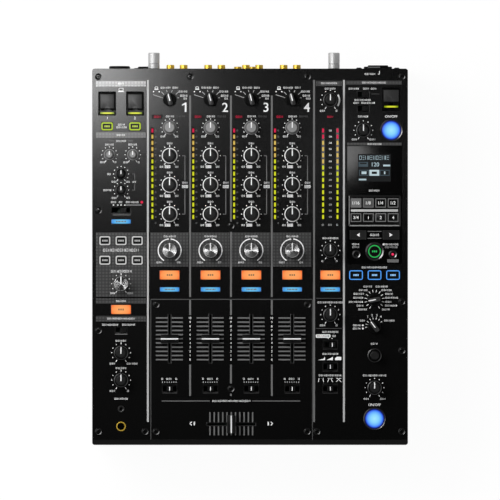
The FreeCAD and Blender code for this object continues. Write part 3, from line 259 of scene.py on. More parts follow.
def led(name, core, rim):
    """A meter segment with a hot middle, repeated at the segment pitch."""
    made, tree, surface = new_surface(name)
    along = add(tree, "ShaderNodeSeparateXYZ", Vector=place_in(tree)).outputs["Y"]
    half_pitch = SEGMENT_PITCH / 2 * MM
    wrapped = worked_out(tree, "ShaderNodeMath", "WRAP", along, -half_pitch, half_pitch)
    away = worked_out(tree, "ShaderNodeMath", "ABSOLUTE", wrapped)
    share = add(tree, "ShaderNodeMapRange", Value=away, From_Max=SEGMENT_LENGTH / 2 * MM).outputs["Result"]
    shine(tree, surface, ramp(tree, share, [(0.35, srgb(*core)), (1.0, srgb(*rim))]), 0.1, 0.5)
    return made


WEAVE_PITCH = 3.4


def weave(name, dark, light, gloss):
    """Glossy printed cloth pattern: small pale squares on a darker ground."""
    made, tree, surface = new_surface(name)
    light_square, dim_square, ground = [(*grey(level), 1) for level in (light, light * 0.85, dark)]
    squares = add(tree, "ShaderNodeTexBrick", Vector=place_in(tree), Scale=1 / (WEAVE_PITCH * MM),
                  Brick_Width=1.0, Row_Height=1.0, Mortar_Size=0.2, Mortar_Smooth=0.2,
                  Color1=light_square, Color2=dim_square, Mortar=ground)
    squares.offset = 0.0
    dress(tree, surface, Base_Color=squares.outputs["Color"], Specular_IOR_Level=gloss,
          Roughness=remap(tree, noise(tree, WEAVE_PITCH), 0.26, 0.34))
    return made


def spun_metal(name, level, rough):
    """Metal turned on a lathe, with its streaks running round the axis."""
    made, tree, surface = new_surface(name)
    tangent = tree.nodes.new("ShaderNodeTangent")
    tangent.direction_type = "RADIAL"
    tangent.axis = "Z"
    rings = add(tree, "ShaderNodeTexNoise", Scale=4000.0, Detail=1.0)
    rings.noise_dimensions = "1D"
    dress(tree, rings, W=worked_out(tree, "ShaderNodeVectorMath", "LENGTH", place_in(tree)))
    dress(tree, surface, Base_Color=mottled(tree, rings.outputs["Fac"], grey(level), 0.8, 1.0),
          Tangent=tangent.outputs["Tangent"], Metallic=1.0, Roughness=rough, Anisotropic=1.0,
          Anisotropic_Rotation=0.12)
    return made


WIPE_SIZE = 25 / 3


def lens_black(name):
    """Polished black plate with faint wipe marks."""
    made, tree, surface = new_surface(name)
    share = noise(tree, WIPE_SIZE, 4.0)
    dress(tree, surface, Base_Color=ramp(tree, share, [(0.3, grey(0.0010)), (0.7, grey(0.0016))]),
          Roughness=remap(tree, share, 0.05, 0.10))
    return made


# Shares of gloss on matt, dull, half dull and polished plastic
MATT, DULL, HALF_DULL, POLISHED = 0.07, 0.2, 0.4, 1.0

PANEL = finish("panel_paint", grey(0.0006), 0.25, grain=0.35, bump=0.002, edge=0.5)
STEEL = finish("case_paint", grey(0.006), 0.36, grain=0.6, bump=0.010, edge=0.5)
RUBBER = finish("foot_rubber", grey(0.018), 0.8, grain=0.5)
BOARD = finish("circuit_board", (0.003, 0.022, 0.010), 0.5, grain=1.5)
SCREW = finish("black_screw", grey(0.001), 0.25, grain=0.5, bump=0.002)
GRIP = finish("knob_grip", grey(0.002), 0.40, grain=0.3, bump=0.006, gloss=MATT)
BAR_FACE = finish("selector_bar", grey(0.016), 0.36, grain=0.3, bump=0.004)
GRIP_TOP = finish("knob_top", grey(0.009), 0.42, grain=0.3, bump=0.006, gloss=DULL)
GRIP_RIM = finish("knob_rim", grey(0.006), 0.3, grain=0.4, bump=0.003)
KNOB_GREY = finish("knob_grey", grey(0.10), 0.45, grain=0.3, bump=0.006)
KNOB_GREY_TOP = finish("knob_grey_top", grey(0.20), 0.45, grain=0.3, bump=0.006)
KNOB_RING = finish("knob_ring", grey(0.62), 0.35, grain=0.3, bump=0.003)
POINTER = finish("white_pointer", grey(0.84), 0.45, grain=0.3, bump=0.003)
DIAL_METAL = spun_metal("dial_metal", 0.60, 0.29)
DARK_DIAL = spun_metal("dark_dial", 0.50, 0.25)
SILVER = finish("silver", grey(0.36), 0.34, grain=0.5, bump=0.004, metallic=0.5)
NUT_SILVER = finish("nut_silver", grey(0.46), 0.50, grain=0.5, bump=0.006, metallic=0.5)
GOLD = finish("gold", (0.66, 0.44, 0.05), 0.32, grain=0.5, bump=0.004, metallic=0.55)
BLACK_PLASTIC = finish("black_plastic", grey(0.0035), 0.3, bump=0.004)
SOCKET_BLACK = finish("socket_black", grey(0.002), 0.45, bump=0.004, gloss=MATT)
FADER_BLACK = finish("fader_black", grey(0.002), 0.35, bump=0.004, gloss=DULL)
GLOSS_PLASTIC = finish("gloss_plastic", grey(0.003), 0.16, grain=0.6, bump=0.001)
RIM_GLOSS = finish("rim_gloss", grey(0.004), 0.22, grain=0.8, bump=0.001, gloss=POLISHED)
INSULATOR = finish("insulator", grey(0.55), 0.5)
COVER = finish("cover_plastic", grey(0.024), 0.36, bump=0.006, gloss=HALF_DULL)
SLOPE = finish("tray_slope", grey(0.004), 0.4, bump=0.003, gloss=DULL)
MARK_ON_LENS = finish("mark_on_lens", (0.16, 0.09, 0.04), 0.5, grain=0.3)
KEY_FACE = finish("key_face", grey(0.008), 0.32, grain=0.3, bump=0.004)
STRIP_BAR = finish("strip_bar", grey(0.50), 0.35, grain=0.5, bump=0.003)
# Painted highlight: light grey for the ledge along the front bevel of the touch strip
STRIP_EDGE_HIGHLIGHT = finish("strip_edge_painted_highlight", grey(0.24), 0.35, grain=0.5, bump=0.003)
LENS = lens_black("display_lens")

CUE_GLOW = glow("cue_glow", 11.0, 7.5, (0.0, 255, 176, 106), (0.75, 255, 152, 82), (1.0, 248, 112, 44))
ASSIGN_GLOW = glow("assign_glow", 11.0, 4.4, (0.0, 116, 208, 244), (0.7, 80, 168, 228), (1.0, 46, 122, 210))
ROUND_GLOW = glow("round_glow", 9.4, 9.4, (0.0, 164, 232, 255), (0.45, 134, 212, 255), (0.76, 94, 166, 255),
                  (0.9, 58, 116, 246), (1.0, 22, 56, 178))
# Painted glow: dark blue light on the flat ring of the bezel round the large round keys, standing in for
# light spilling from the lens
BEZEL_GLOW_SPILL = glow("painted_glow_spill", 11.4, 11.4, (0.82, 10, 32, 128), (0.90, 4, 14, 70), (1.0, 0, 3, 20))
GREEN_GLOW = glow("green_glow", 8.0, 8.0, (0.0, 40, 188, 92), (1.0, 20, 168, 70))
RED_GLOW = glow("red_glow", 1.5, 1.5, (0.0, 255, 60, 110), (1.0, 238, 18, 78))
LIME_GLOW = glow("lime_glow", 9.0, 6.0, (0.0, 200, 220, 80), (1.0, 176, 206, 40))
PORT_GLOW = glow("port_glow", 8.2, 400.0, (0.0, 216, 222, 50), (0.45, 206, 212, 42), (0.75, 134, 156, 10),
                 (1.0, 108, 132, 4))
WHITE_GLOW = glow("white_glow", 8.0, 6.0, (0.0, 176, 176, 175), (0.6, 190, 190, 189), (1.0, 208, 208, 207))
BAND_GLOW = glow("band_glow", 9.0, 6.5, (0.0, 170, 214, 255), (0.5, 100, 178, 252), (1.0, 56, 140, 240))
SCREEN_LIGHT = glow("screen_light", 18.0, 16.0, (0.0, 196, 214, 220), (1.0, 170, 192, 200))
SCREEN_DIM = glow("screen_dim", 18.0, 16.0, (0.0, 70, 86, 94), (1.0, 56, 70, 78))
SCREEN_DARK = glow("screen_dark", 18.0, 16.0, (0.0, 10, 15, 18), (1.0, 6, 9, 11))
RED_LED = led("red_led", (214, 14, 72), (182, 4, 46))
AMBER_LED = led("amber_led", (214, 186, 92), (192, 148, 58))
YELLOW_LED = led("yellow_led", (208, 212, 22), (178, 186, 6))

INKS = [
    finish("white_ink", grey(0.88), 0.6, grain=0.2, bump=0.004),
    finish("pale_line", grey(0.42), 0.5, grain=0.3, bump=0.003),
    finish("grey_line", grey(0.125), 0.5, grain=0.3, bump=0.003),
    finish("dim_ink", grey(0.050), 0.5, grain=0.3, bump=0.003),
    glow("red_light", 160.0, 200.0, (0.0, 236, 22, 78), (1.0, 206, 14, 60)),
    weave("woven_print", 0.020, 0.072, 0.8),
    weave("band_print", 0.026, 0.070, 1.0),
    finish("black_ink", grey(0.0015), 0.35, grain=0.3, bump=0.002, gloss=DULL),
    finish("caption_ink", grey(0.86), 0.5, grain=0.3, bump=0.003),
    weave("silver_band", 0.17, 0.32, 1.0),
]
WHITE, PALE, GREY, DIM, RED_INK, WOVEN, BAND, BLACK, WORDS, SILVER_BAND = range(len(INKS))


# Outlines: lists of points round a shape, seen from above

def spoke(reach, angle, x=0.0, y=0.0):
    """The point at a reach and an angle, clockwise from the rear, round a middle."""
    return (x + reach * math.sin(angle), y + reach * math.cos(angle))


def circle(radius, steps=RIM_STEPS, x=0.0, y=0.0, flute=0.0):
    """A circle; a flute makes every fourth point dip in, for a ribbed grip."""
    dips = [0 if step % 4 else flute for step in range(steps)]
    return [spoke(radius - dip, 2 * math.pi * step / steps, x, y) for step, dip in enumerate(dips)]


def hexagon(half_width, steps, x, y):
    """A six-sided outline with as many points as a circle, so that the two can be lofted together."""
    sixth = math.pi / 3
    angles = [2 * math.pi * step / steps for step in range(steps)]
    return [spoke(half_width / math.cos(angle % sixth - sixth / 2), angle, x, y) for angle in angles]


def rectangle(width, length, x=0.0, y=0.0):
    corners = ((-0.5, -0.5), (0.5, -0.5), (0.5, 0.5), (-0.5, 0.5))
    return [(x + side * width, y + end * length) for side, end in corners]


def rounded(width, length, radius, x=0.0, y=0.0, steps=6):
    points = []
    for quarter, (side, end) in enumerate(((1, 1), (-1, 1), (-1, -1), (1, -1))):
        for step in range(steps + 1):
            angle = math.pi / 2 * (quarter + step / steps)
            points.append((x + side * (width / 2 - radius) + radius * math.cos(angle),
                           y + end * (length / 2 - radius) + radius * math.sin(angle)))
    return points


NOTCH_STEPS = 10


def notched(half_width, front, rear, notch):
    """A rectangle with a round notch in the middle of its front edge."""
    angles = [math.pi * step / NOTCH_STEPS for step in range(NOTCH_STEPS + 1)]
    bite = [(-notch * math.cos(angle), front + notch * math.sin(angle)) for angle in angles]
    return [(-half_width, front), *bite, (half_width, front), (half_width, rear), (-half_width, rear)]


def mirrored(profile):
    return profile + [(-y, z) for y, z in reversed(profile)]


def raised(outline, height):
    return [Vector((x, y, height)) for x, y in outline]


# Meshes

def loft(mesh, rings, finishes=None, closed=False):
    """Skin a stack of rings. A closed stack joins its last ring to its first; any other gets two caps."""
    made = [[mesh.verts.new(point) for point in ring] for ring in rings]
    finishes = finishes or [0] * len(made)
    pairs = list(zip(made, made[1:]))
    if closed:
        pairs.append((made[-1], made[0]))
    for (lower, upper), number in zip(pairs, finishes):
        for step in range(len(lower)):
            after = (step + 1) % len(lower)
            face = mesh.faces.new((lower[step], lower[after], upper[after], upper[step]))
            face.material_index = number
    if not closed:
        mesh.faces.new(made[0]).material_index = finishes[0]
        mesh.faces.new(made[-1]).material_index = finishes[len(made) - 2]


Row = namedtuple("Row", "radius height finish flute", defaults=(0, 0.0))


def turned(mesh, rows, x=0.0, y=0.0, steps=RIM_STEPS):
    """A solid of revolution: rows of radius, height, finish of the band below and depth of flutes."""
    rows = [Row(*row) for row in rows]
    rings = [raised(circle(row.radius, steps, x, y, row.flute), row.height) for row in rows]
    loft(mesh, rings, [row.finish for row in rows[1:]])


def hoop(mesh, rows, finishes):
    """A closed ring of revolution: rows of radius and height."""
    loft(mesh, [raised(circle(radius), height) for radius, height in rows], finishes, closed=True)


def stepped(mesh, rows, finishes=None, closed=False, y=0.0):
    """A stack of rounded rectangles: rows of width, length, corner radius and height."""
    rings = [raised(rounded(width, length, radius, 0, y), height) for width, length, radius, height in rows]
    loft(mesh, rings, finishes, closed)


def slab(mesh, outline, low, high, finish_number=0):
    loft(mesh, [raised(outline, low), raised(outline, high)], [finish_number])


def prism(mesh, profile, half_width, finish_number=0):
    """A profile of (y, z) points carried along X."""
    ends = [[Vector((side * half_width, y, z)) for y, z in profile] for side in (-1, 1)]
    loft(mesh, ends, [finish_number])


def mesh_object(name, mesh, materials):
    """Turn a finished mesh, in millimetres, into an object in metres."""
    bmesh.ops.recalc_face_normals(mesh, faces=mesh.faces)
    bmesh.ops.scale(mesh, vec=(MM, MM, MM), verts=mesh.verts)
    data = bpy.data.meshes.new(name)
    mesh.to_mesh(data)
    mesh.free()
    for material in materials:
        data.materials.append(material)
    data.shade_smooth()
    data.set_sharp_from_angle(angle=SHARP_ANGLE)
    made = bpy.data.objects.new(name, data)
    bpy.context.scene.collection.objects.link(made)
    return made


def piece(name, mesh, materials, body=CASE, place=(0, 0, 0), turn=0.0, stands_for=()):
    """A named part of the object that rides on a body."""
    made = mesh_object(name, mesh, materials)
    made.matrix_world = Matrix.Translation(Vector(place) * MM) @ Matrix.Rotation(turn, 4, "Z")
    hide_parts(*stands_for)
    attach(made, body)
    return made


def control_piece(node, part, mesh, materials, place, rest=0.0):
    """A part of a knob or fader, turned to its place at rest."""
    piece(f"{node}_{part}", mesh, materials, node, place, math.radians(rest), [node])


def key_piece(name, mesh, materials, place):
    piece(name, mesh, materials, "key_buttons", place, stands_for=["key_buttons"])


def socket_piece(name, mesh, materials, place):
    piece(name, mesh, materials, CASE, place, stands_for=["sockets"])


def paint(node, material):
    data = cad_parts[node].data
    data.materials.clear()
    data.materials.append(material)


# Print on the panel

MARK_WIDTHS = (1.6, 1.3, 1.7, 0.45, 1.5, 1.35)
MARK_GAP = 0.6
MARK_HEIGHT = 1.8
MARK_LINE = 0.18
WIDEST_LINE = 0.38
FIGURE_WEIGHT = 0.012
CAPITAL_SHARE = 0.72
FIGURE_ONE = ((0.24, -0.5), (0.24, 0.5), (0.09, 0.5), (-0.24, 0.31), (-0.24, 0.15), (0.05, 0.28),
              (0.05, -0.5))
NARROWEST_MARK = 0.3
ARC_STEPS = 40


class Print:
    """Thin closed slabs gathered into one mesh, with places counted from a middle that can be moved."""

    def __init__(self, name, x=0.0, y=0.0, height=TOP):
        self.name = name
        self.height = height
        self.mesh = bmesh.new()
        self.move(x, y)

    def move(self, x, y=0.0):
        self.x, self.y = x, y

    def moved(self, outline):
        return [(self.x + x, self.y + y) for x, y in outline]

    def levels(self):
        return (self.height - INK_HEIGHT, self.height + INK_HEIGHT)

    def shape(self, outline, ink=WHITE):
        slab(self.mesh, self.moved(outline), *self.levels(), ink)

    def ring(self, outer, inner, ink):
        low, high = self.levels()
        stack = [(outer, low), (outer, high), (inner, high), (inner, low)]
        loft(self.mesh, [raised(self.moved(edge), level) for edge, level in stack], [ink] * 4, closed=True)

    def bar(self, x, y, width, length, ink=WHITE):
        self.shape(rectangle(width, length, x, y), ink)

    def post(self, x, rear, front, width, ink=GREY):
        self.bar(x, (rear + front) / 2, width, rear - front, ink)

    def dot(self, x, y, radius=0.55, ink=WHITE):
        self.shape(circle(radius, 12, x, y), ink)

    def stroke(self, start, end, width=0.7, ink=WHITE):
        start, end = Vector(start), Vector(end)
        run = end - start
        side = Vector((-run.y, run.x)).normalized() * width / 2
        self.shape([start - side, end - side, end + side, start + side], ink)

    def tick(self, angle, start, end, width=0.6):
        """A stroke that points away from the middle, in degrees clockwise from the rear."""
        spot = math.radians(angle)
        self.stroke(spoke(start, spot), spoke(end, spot), width)

    def arc(self, x, y, radius, width, first, last):
        """An arc between two angles, in degrees clockwise from the rear."""
        angles = [math.radians(first + (last - first) * step / ARC_STEPS) for step in range(ARC_STEPS + 1)]
        outer, inner = [[spoke(reach, angle, x, y) for angle in angles]
                        for reach in (radius + width / 2, radius - width / 2)]
        self.shape(outer + inner[::-1])

    def box(self, x, y, width, length, line=0.5, ink=WHITE, radius=0.6):
        inner = rounded(width - 2 * line, length - 2 * line, radius / 2, x, y)
        self.ring(rounded(width, length, radius, x, y), inner, ink)

    def mark(self, number, x, y, width, height, ink):
        """One plain mark of a caption: a frame, three bars or two posts, never a letter."""
        line = min(height * MARK_LINE, WIDEST_LINE)
        if width < 3 * line:
            self.bar(x, y, width, height, ink)
        elif number % 3 == 0:
            inner = rectangle(width - 2 * line, height - 2 * line, x, y)
            self.ring(rectangle(width, height, x, y), inner, ink)
        elif number % 3 == 1:
            for lift in (-0.5, 0.0, 0.5):
                self.bar(x, y + lift * (height - line), width, line, ink)
        else:
            for side in (-0.5, 0.5):
                self.bar(x + side * (width - line), y, line, height, ink)

    def caption(self, x, y, width, ink=WORDS, height=MARK_HEIGHT):
        """A row of plain marks, where such a panel carries a word."""
        size = math.sqrt(height / MARK_HEIGHT)
        middle = self.x + x
        start, end = middle - width / 2, middle + width / 2
        number = 0
        while start < end - NARROWEST_MARK:
            wide = min(MARK_WIDTHS[number % len(MARK_WIDTHS)] * size, end - start)
            self.mark(number, start + wide / 2 - self.x, y, wide, height, ink)
            start += wide + MARK_GAP * size
            number += 1

    def words(self, y, *spots, ink=WORDS):
        """Captions in one row, each with its place along X and its width."""
        for x, width in spots:
            self.caption(x, y, width, ink)

    def over(self, x, y, width, ink=BLACK, height=MARK_HEIGHT):
        """Marks printed on top of a filled shape."""
        self.height += INK_HEIGHT
        self.caption(x, y, width, ink, height)
        self.height -= INK_HEIGHT

    def band(self, x, y, width, length, word, cloth=BAND):
        self.bar(x, y, width, length, cloth)
        self.over(x, y, word, WORDS)

    def text(self, words, x, y, height, ink=WHITE):
        """Numbers and plain switch words in the built-in typeface."""
        curve = bpy.data.curves.new("figures", "FONT")
        curve.body = words
        curve.size = height / CAPITAL_SHARE
        curve.offset = height * FIGURE_WEIGHT
        holder = bpy.data.objects.new("figures", curve)
        flat = bpy.data.meshes.new_from_object(holder)
        across, along = [[point.co[axis] for point in flat.vertices] for axis in (0, 1)]
        shift_x = self.x + x - (min(across) + max(across)) / 2
        shift_y = self.y + y - (min(along) + max(along)) / 2
        levels = []
        for level in self.levels():
            spots = [(a + shift_x, b + shift_y, level) for a, b in zip(across, along)]
            levels.append([self.mesh.verts.new(spot) for spot in spots])
        uses = {}
        for polygon in flat.polygons:
            corners = list(polygon.vertices)
            for level in levels:
                self.mesh.faces.new([level[corner] for corner in corners]).material_index = ink
            for pair in zip(corners, corners[1:] + corners[:1]):
                uses.setdefault(tuple(sorted(pair)), []).append(pair)
        for first, last in [found[0] for found in uses.values() if len(found) == 1]:
            wall = (levels[0][first], levels[0][last], levels[1][last], levels[1][first])
            self.mesh.faces.new(wall).material_index = ink
        bpy.data.objects.remove(holder)
        bpy.data.curves.remove(curve)
        bpy.data.meshes.remove(flat)

    def figure_one(self, x, y, height):
        """A figure 1 with a flag, which the built-in typeface leaves off."""
        self.shape([(x + side * height, y + lift * height) for side, lift in FIGURE_ONE])

    def dial_marks(self, radius, top_tick=False, first=-120, legs=150):
        """Dots every thirty degrees round the middle and two legs at the ends of the turn."""
        for angle in range(first, 121, 30):
            if angle == 0 and top_tick:
                self.bar(0, radius, 0.8, 2.0)
            else:
                self.dot(*spoke(radius, math.radians(angle)))
        for angle in (-legs, legs):
            self.tick(angle, radius - 1.3, radius + 0.9, 0.7)

    def scale(self, node, radius, drop, *ends, **marks):
        """Move to a knob, and print its marks and the captions in front of it."""
        spot = at(node)
        self.move(spot.x, spot.y)
        self.dial_marks(radius, **marks)
        self.words(drop, *ends)

    def done(self):
        return piece(self.name, self.mesh, INKS)


# Knobs and faders

SHAFT_RADIUS = 3.0
KNOB_GAP = 0.5
POINTER_HALF = 0.55
TURNED_REST = {"effect_selector": 101, "effect_channel_selector": 37}
SOURCE_REST = 15

Kind = namedtuple("Kind", "cap skirt_height bevel flute grip top ring pointer_start pointer_end")

# Kinds of plain knobs by the first words of their nodes; the last is for all others
KNOB_KINDS = {
    ("trim",): Kind(5.4, 2.6, 0.6, 0.25, KNOB_GREY, KNOB_GREY_TOP, KNOB_GREY_TOP, -0.4, 5.2),
    ("mic_level",): Kind(3.5, 2.2, 0.6, 0.2, KNOB_GREY, KNOB_GREY_TOP, KNOB_GREY_TOP, -0.3, 4.4),
    ("mic",): Kind(3.5, 2.2, 0.8, 0.2, GRIP, GRIP_TOP, GRIP_RIM, -0.3, 4.4),
    ("high", "middle", "low"): Kind(5.7, 3.0, 1.05, 0.25, GRIP, GRIP_TOP, KNOB_RING, -0.3, 8.2),
    ("time",): Kind(4.5, 2.6, 0.9, 0.25, GRIP, GRIP_TOP, GRIP_RIM, 0, 0),
    ("",): Kind(5.2, 2.6, 0.9, 0.25, GRIP, GRIP_TOP, GRIP_RIM, -0.8, 7.0),
}


def knob_foot(skirt, foot):
    """Rows of a knob from the end of its shaft to the lower edge of its skirt."""
    return [(SHAFT_RADIUS, foot), (SHAFT_RADIUS, KNOB_GAP), (skirt - 0.4, KNOB_GAP), (skirt, KNOB_GAP + 0.4)]


def plain_knob(node):
    """A ribbed cap on a bevelled skirt, with a pointer that may run down over the skirt."""
    kind = next(kind for starts, kind in KNOB_KINDS.items() if node.startswith(starts))
    place, skirt, _, foot, height = mount(box_of(node))
    skirt_top = KNOB_GAP + kind.skirt_height
    cap, start, end = kind.cap, kind.pointer_start, kind.pointer_end
    grip, top, ring, pointer = range(4)
    mesh = bmesh.new()
    turned(mesh, knob_foot(skirt, foot) + [
        (skirt, skirt_top - kind.bevel * 0.6, ring), (skirt - kind.bevel, skirt_top, ring),
        (cap + 0.9, skirt_top - 0.1, grip), (cap + 0.6, skirt_top - 0.4, grip),
        (cap + 0.45, skirt_top + 0.4, grip, kind.flute), (cap + 0.05, height - 0.9, grip, kind.flute),
        (cap - 0.35, height - 0.3, grip), (cap - 0.8, height - 0.15, top),
        (cap * 0.5, height - 0.3, top), (0.1, height - 0.32, top),
    ])
    if end:
        profile = [(start, height - 0.6), (start, height), (cap - 0.4, height), (cap + 0.1, height - 0.7)]
        if end > cap + 0.6:
            profile += [(cap + 0.6, skirt_top + 0.1), (end - 1.2, skirt_top + 0.1), (end, skirt_top - 0.7),
                        (end, skirt_top - 1.0), (cap - 0.3, skirt_top - 1.0), (cap - 0.5, height - 0.8)]
        else:
            profile += [(cap + 0.5, height * 0.5), (cap - 0.2, height * 0.5), (cap - 0.5, height - 0.8)]
        prism(mesh, profile, POINTER_HALF, pointer)
    control_piece(node, "body", mesh, [kind.grip, kind.top, kind.ring, POINTER], place)


def dial(node):
    """A colour dial: black flanks, a spun metal top and a white pointer."""
    place, skirt, _, foot, height = mount(box_of(node))
    cap, skirt_top = skirt - 0.2, KNOB_GAP + 2.4
    mesh = bmesh.new()
    turned(mesh, knob_foot(skirt, foot) + [
        (skirt, skirt_top - 0.5, 1), (skirt - 0.3, skirt_top, 1), (cap - 0.2, skirt_top + 0.2),
        (cap - 0.2, skirt_top + 0.5, 0, 0.3), (cap, height - 1.4, 0, 0.3), (cap - 0.05, height - 0.9, 1),
        (cap - 0.5, height - 0.55, 1), (0.2, height - 0.55),
    ])
    control_piece(node, "grip", mesh, [GRIP, GRIP_RIM], place)
    mesh = bmesh.new()
    turned(mesh, [(cap - 0.5, height - 0.7), (cap - 0.25, height - 0.45), (cap - 0.5, height - 0.2),
                  (cap * 0.5, height - 0.32), (0.1, height - 0.36)])
    metal = DARK_DIAL if node == "parameter_knob" else DIAL_METAL
    control_piece(node, "metal_top", mesh, [metal], place)
    mesh = bmesh.new()
    on_top = [(-0.6, height - 0.5), (-0.6, height), (cap - 0.3, height), (cap - 0.1, height - 0.6)]
    on_flank = [(cap - 0.4, skirt_top + 0.6), (cap - 0.2, height - 1.5), (cap + 0.15, height - 1.6),
                (cap + 0.1, skirt_top + 0.6)]
    for profile in (on_top, on_flank):
        prism(mesh, profile, POINTER_HALF)
    control_piece(node, "pointer", mesh, [POINTER], place)


def selector(node, rest):
    """A bar knob on a round skirt, with a white line along the bar."""
    place, skirt, _, foot, height = mount(box_of(node))
    skirt_top = KNOB_GAP + 5.0
    width, length = 4.6, 11.7
    end = length / 2
    mesh = bmesh.new()
    turned(mesh, knob_foot(skirt, foot) + [
        (skirt, 2.2), (skirt - 0.5, 2.8), (skirt - 0.6, skirt_top - 0.6, 0, 0.2), (skirt - 1.2, skirt_top),
        (0.2, skirt_top),
    ])
    stepped(mesh, [
        (width, length, 1.6, skirt_top - 0.4), (width, length, 1.6, height - 1.6),
        (width - 0.3, length - 0.3, 1.5, height - 1.2), (width - 2.4, length - 1.2, 1.0, height - 0.7),
        (width - 2.8, length - 1.6, 0.8, height - 0.6),
    ], [0, 1, 1, 1])
    prism(mesh, [(-1.2, height - 0.5), (-1.2, height), (end - 0.5, height), (end - 0.05, height - 1.4),
                 (end + 0.1, skirt_top + 0.2), (skirt - 0.9, skirt_top + 0.2), (skirt - 0.5, skirt_top - 0.5),
                 (end - 0.6, skirt_top - 0.5), (end - 1.0, height - 1.6)], POINTER_HALF, 2)
    control_piece(node, "body", mesh, [GRIP, BAR_FACE, POINTER], place, rest)


def fader(node, rest):
    """A cap with hollowed flanks, a white line on its ridge and the blade under it."""
    place, half_x, half_y, foot, height = mount(box_of(node))
    half_width, half_length = max(half_x, half_y), min(half_x, half_y)
    flank = [(half_length, KNOB_GAP), (half_length, 4.6), (half_length - 0.5, 5.0), (half_length - 1.4, 6.4),
             (half_length - 2.1, 8.6), (half_length - 2.6, 11.2), (1.25, height - 0.25)]
    mesh = bmesh.new()
    sections = []
    for x, draw_in in ((-half_width, 0.35), (0.5 - half_width, 0), (half_width - 0.5, 0), (half_width, 0.35)):
        narrow, low = 1 - draw_in / half_length, 1 - draw_in / height
        outline = [(y * narrow, KNOB_GAP + (z - KNOB_GAP) * low) for y, z in mirrored(flank)]
        sections.append([Vector((x, y, z)) for y, z in outline])
    loft(mesh, sections)
    slab(mesh, rectangle(2 * half_width - 0.3, 1.3), height - 0.6, height, 1)
    slab(mesh, rectangle(1.6, 5.0), foot, 1.0, 2)
    control_piece(node, "cap", mesh, [FADER_BLACK, POINTER, SILVER], place, rest)


# Keys

KEY_FLANGE = 0.9
FLANGE_HEIGHT = 1.2


def key_frame(box):
    """Place, width and length above the flange, foot and height of a key."""
    place, half_x, half_y, foot, height = mount(box)
    return place, 2 * (half_x - KEY_FLANGE), 2 * (half_y - KEY_FLANGE), foot, height


def key_stack(width, length, foot, height, radius=1.0):
    """Rows of a key from the flange under the panel to its upper edge."""
    flange = (width + 2 * KEY_FLANGE, length + 2 * KEY_FLANGE, 0.6)
    return [(*flange, foot), (*flange, foot + FLANGE_HEIGHT), (width, length, 0.6, foot + FLANGE_HEIGHT),
            (width, length, radius, height - 0.5), (width - 0.8, length - 0.8, radius, height - 0.1)]


def key_marks(mesh, count, pitch, width, length, low, high, finish_number):
    """A row of plain marks across the middle of a key."""
    for number in range(count):
        slab(mesh, rectangle(width, length, (number - (count - 1) / 2) * pitch), low, high, finish_number)


def lit_key(name, box, node, light):
    """A lens lit from below, with a row of dark marks across its middle."""
    place, width, length, foot, height = key_frame(box)
    mesh = bmesh.new()
    rim = (width - 1.6, length - 1.6, 0.7, height - 0.05)
    stepped(mesh, key_stack(width, length, foot, height) + [rim], [1, 1, 1, 1, 0])
    count, pitch, mark_length = (3, 2.2, 1.9) if length > 8 else (7, 1.55, 1.5)
    key_marks(mesh, count, pitch, pitch * 0.62, mark_length, height - 0.2, height, 2)
    piece(name, mesh, [light, BLACK_PLASTIC, MARK_ON_LENS], node, place, stands_for=[node])


def framed_key(name, box, light, line):
    """A dark key with a lit frame and a row of lit marks in the middle."""
    place, width, length, foot, height = key_frame(box)
    mesh = bmesh.new()
    face = [(1.1, 1.8, 0), (2 * line + 0.8, 1.0, 0), (2 * line + 1.1, 0.8, 0.35), (2 * line + 2.4, 0.5, 0.4)]
    rows = [(width - inset, length - inset, radius, height - drop) for inset, radius, drop in face]
    stepped(mesh, key_stack(width, length, foot, height, 2.0) + rows, [1, 1, 1, 0, 0, 0, 2, 2])
    key_marks(mesh, 4, 1.5, 1.1, 1.9, height - 0.6, height - 0.25, 0)
    key_piece(name, mesh, [light, GLOSS_PLASTIC, INKS[BLACK]], place)


def beat_key(name, box, direction):
    """A dark key with a white arrow."""
    place, width, length, foot, height = key_frame(box)
    mesh = bmesh.new()
    rim = (width - 1.8, length - 1.8, 0.7, height - 0.15)
    stepped(mesh, key_stack(width, length, foot, height) + [rim], [0, 0, 0, 1, 1])
    tip = 1.7 * direction
    slab(mesh, [(tip, 0), (-tip, 2.0), (-tip, -2.0)], height - 0.3, height, 2)
    key_piece(name, mesh, [BLACK_PLASTIC, KEY_FACE, POINTER], place)


def round_frame(box):
    """Place, radius and height of a round key, and its rows from the flange to its upper edge."""
    place, width, _, foot, height = key_frame(box)
    radius, ledge = width / 2, foot + FLANGE_HEIGHT
    flange = radius + KEY_FLANGE
    return place, radius, height, [(flange, foot), (flange, ledge), (radius, ledge), (radius, height - 0.5)]


def effect_key(name, box):
    """A large round lens with a shallow dome, in a glossy bezel whose flat inner ring carries a painted glow
    spill from the lens.
    """
    place, radius, height, rows = round_frame(box)
    mesh = bmesh.new()
    turned(mesh, rows + [(radius - 0.5, height - 0.3), (radius * 0.8, height - 0.12),
                         (radius * 0.4, height - 0.03), (0.1, height)])
    piece(name, mesh, [ROUND_GLOW], "assign_buttons", place, stands_for=["assign_buttons"])
    mesh = bmesh.new()
    inner = radius + 0.35
    # The flat ring next to the lens carries the painted glow spill; the sloping rim beyond it is glossy
    # plastic
    hoop(mesh, [
        (inner, -INK_HEIGHT), (inner, 0.4), (inner + 1.1, 0.4), (inner + 1.2, 0.44), (inner + 2.0, 0.78),
        (inner + 2.1, 0.8), (inner + 2.4, 0.8), (inner + 2.5, -INK_HEIGHT),
    ], [1, 0, 2, 2, 2, 1, 1, 1])
    piece(f"{name}_bezel", mesh, [BEZEL_GLOW_SPILL, GLOSS_PLASTIC, RIM_GLOSS], CASE, place)


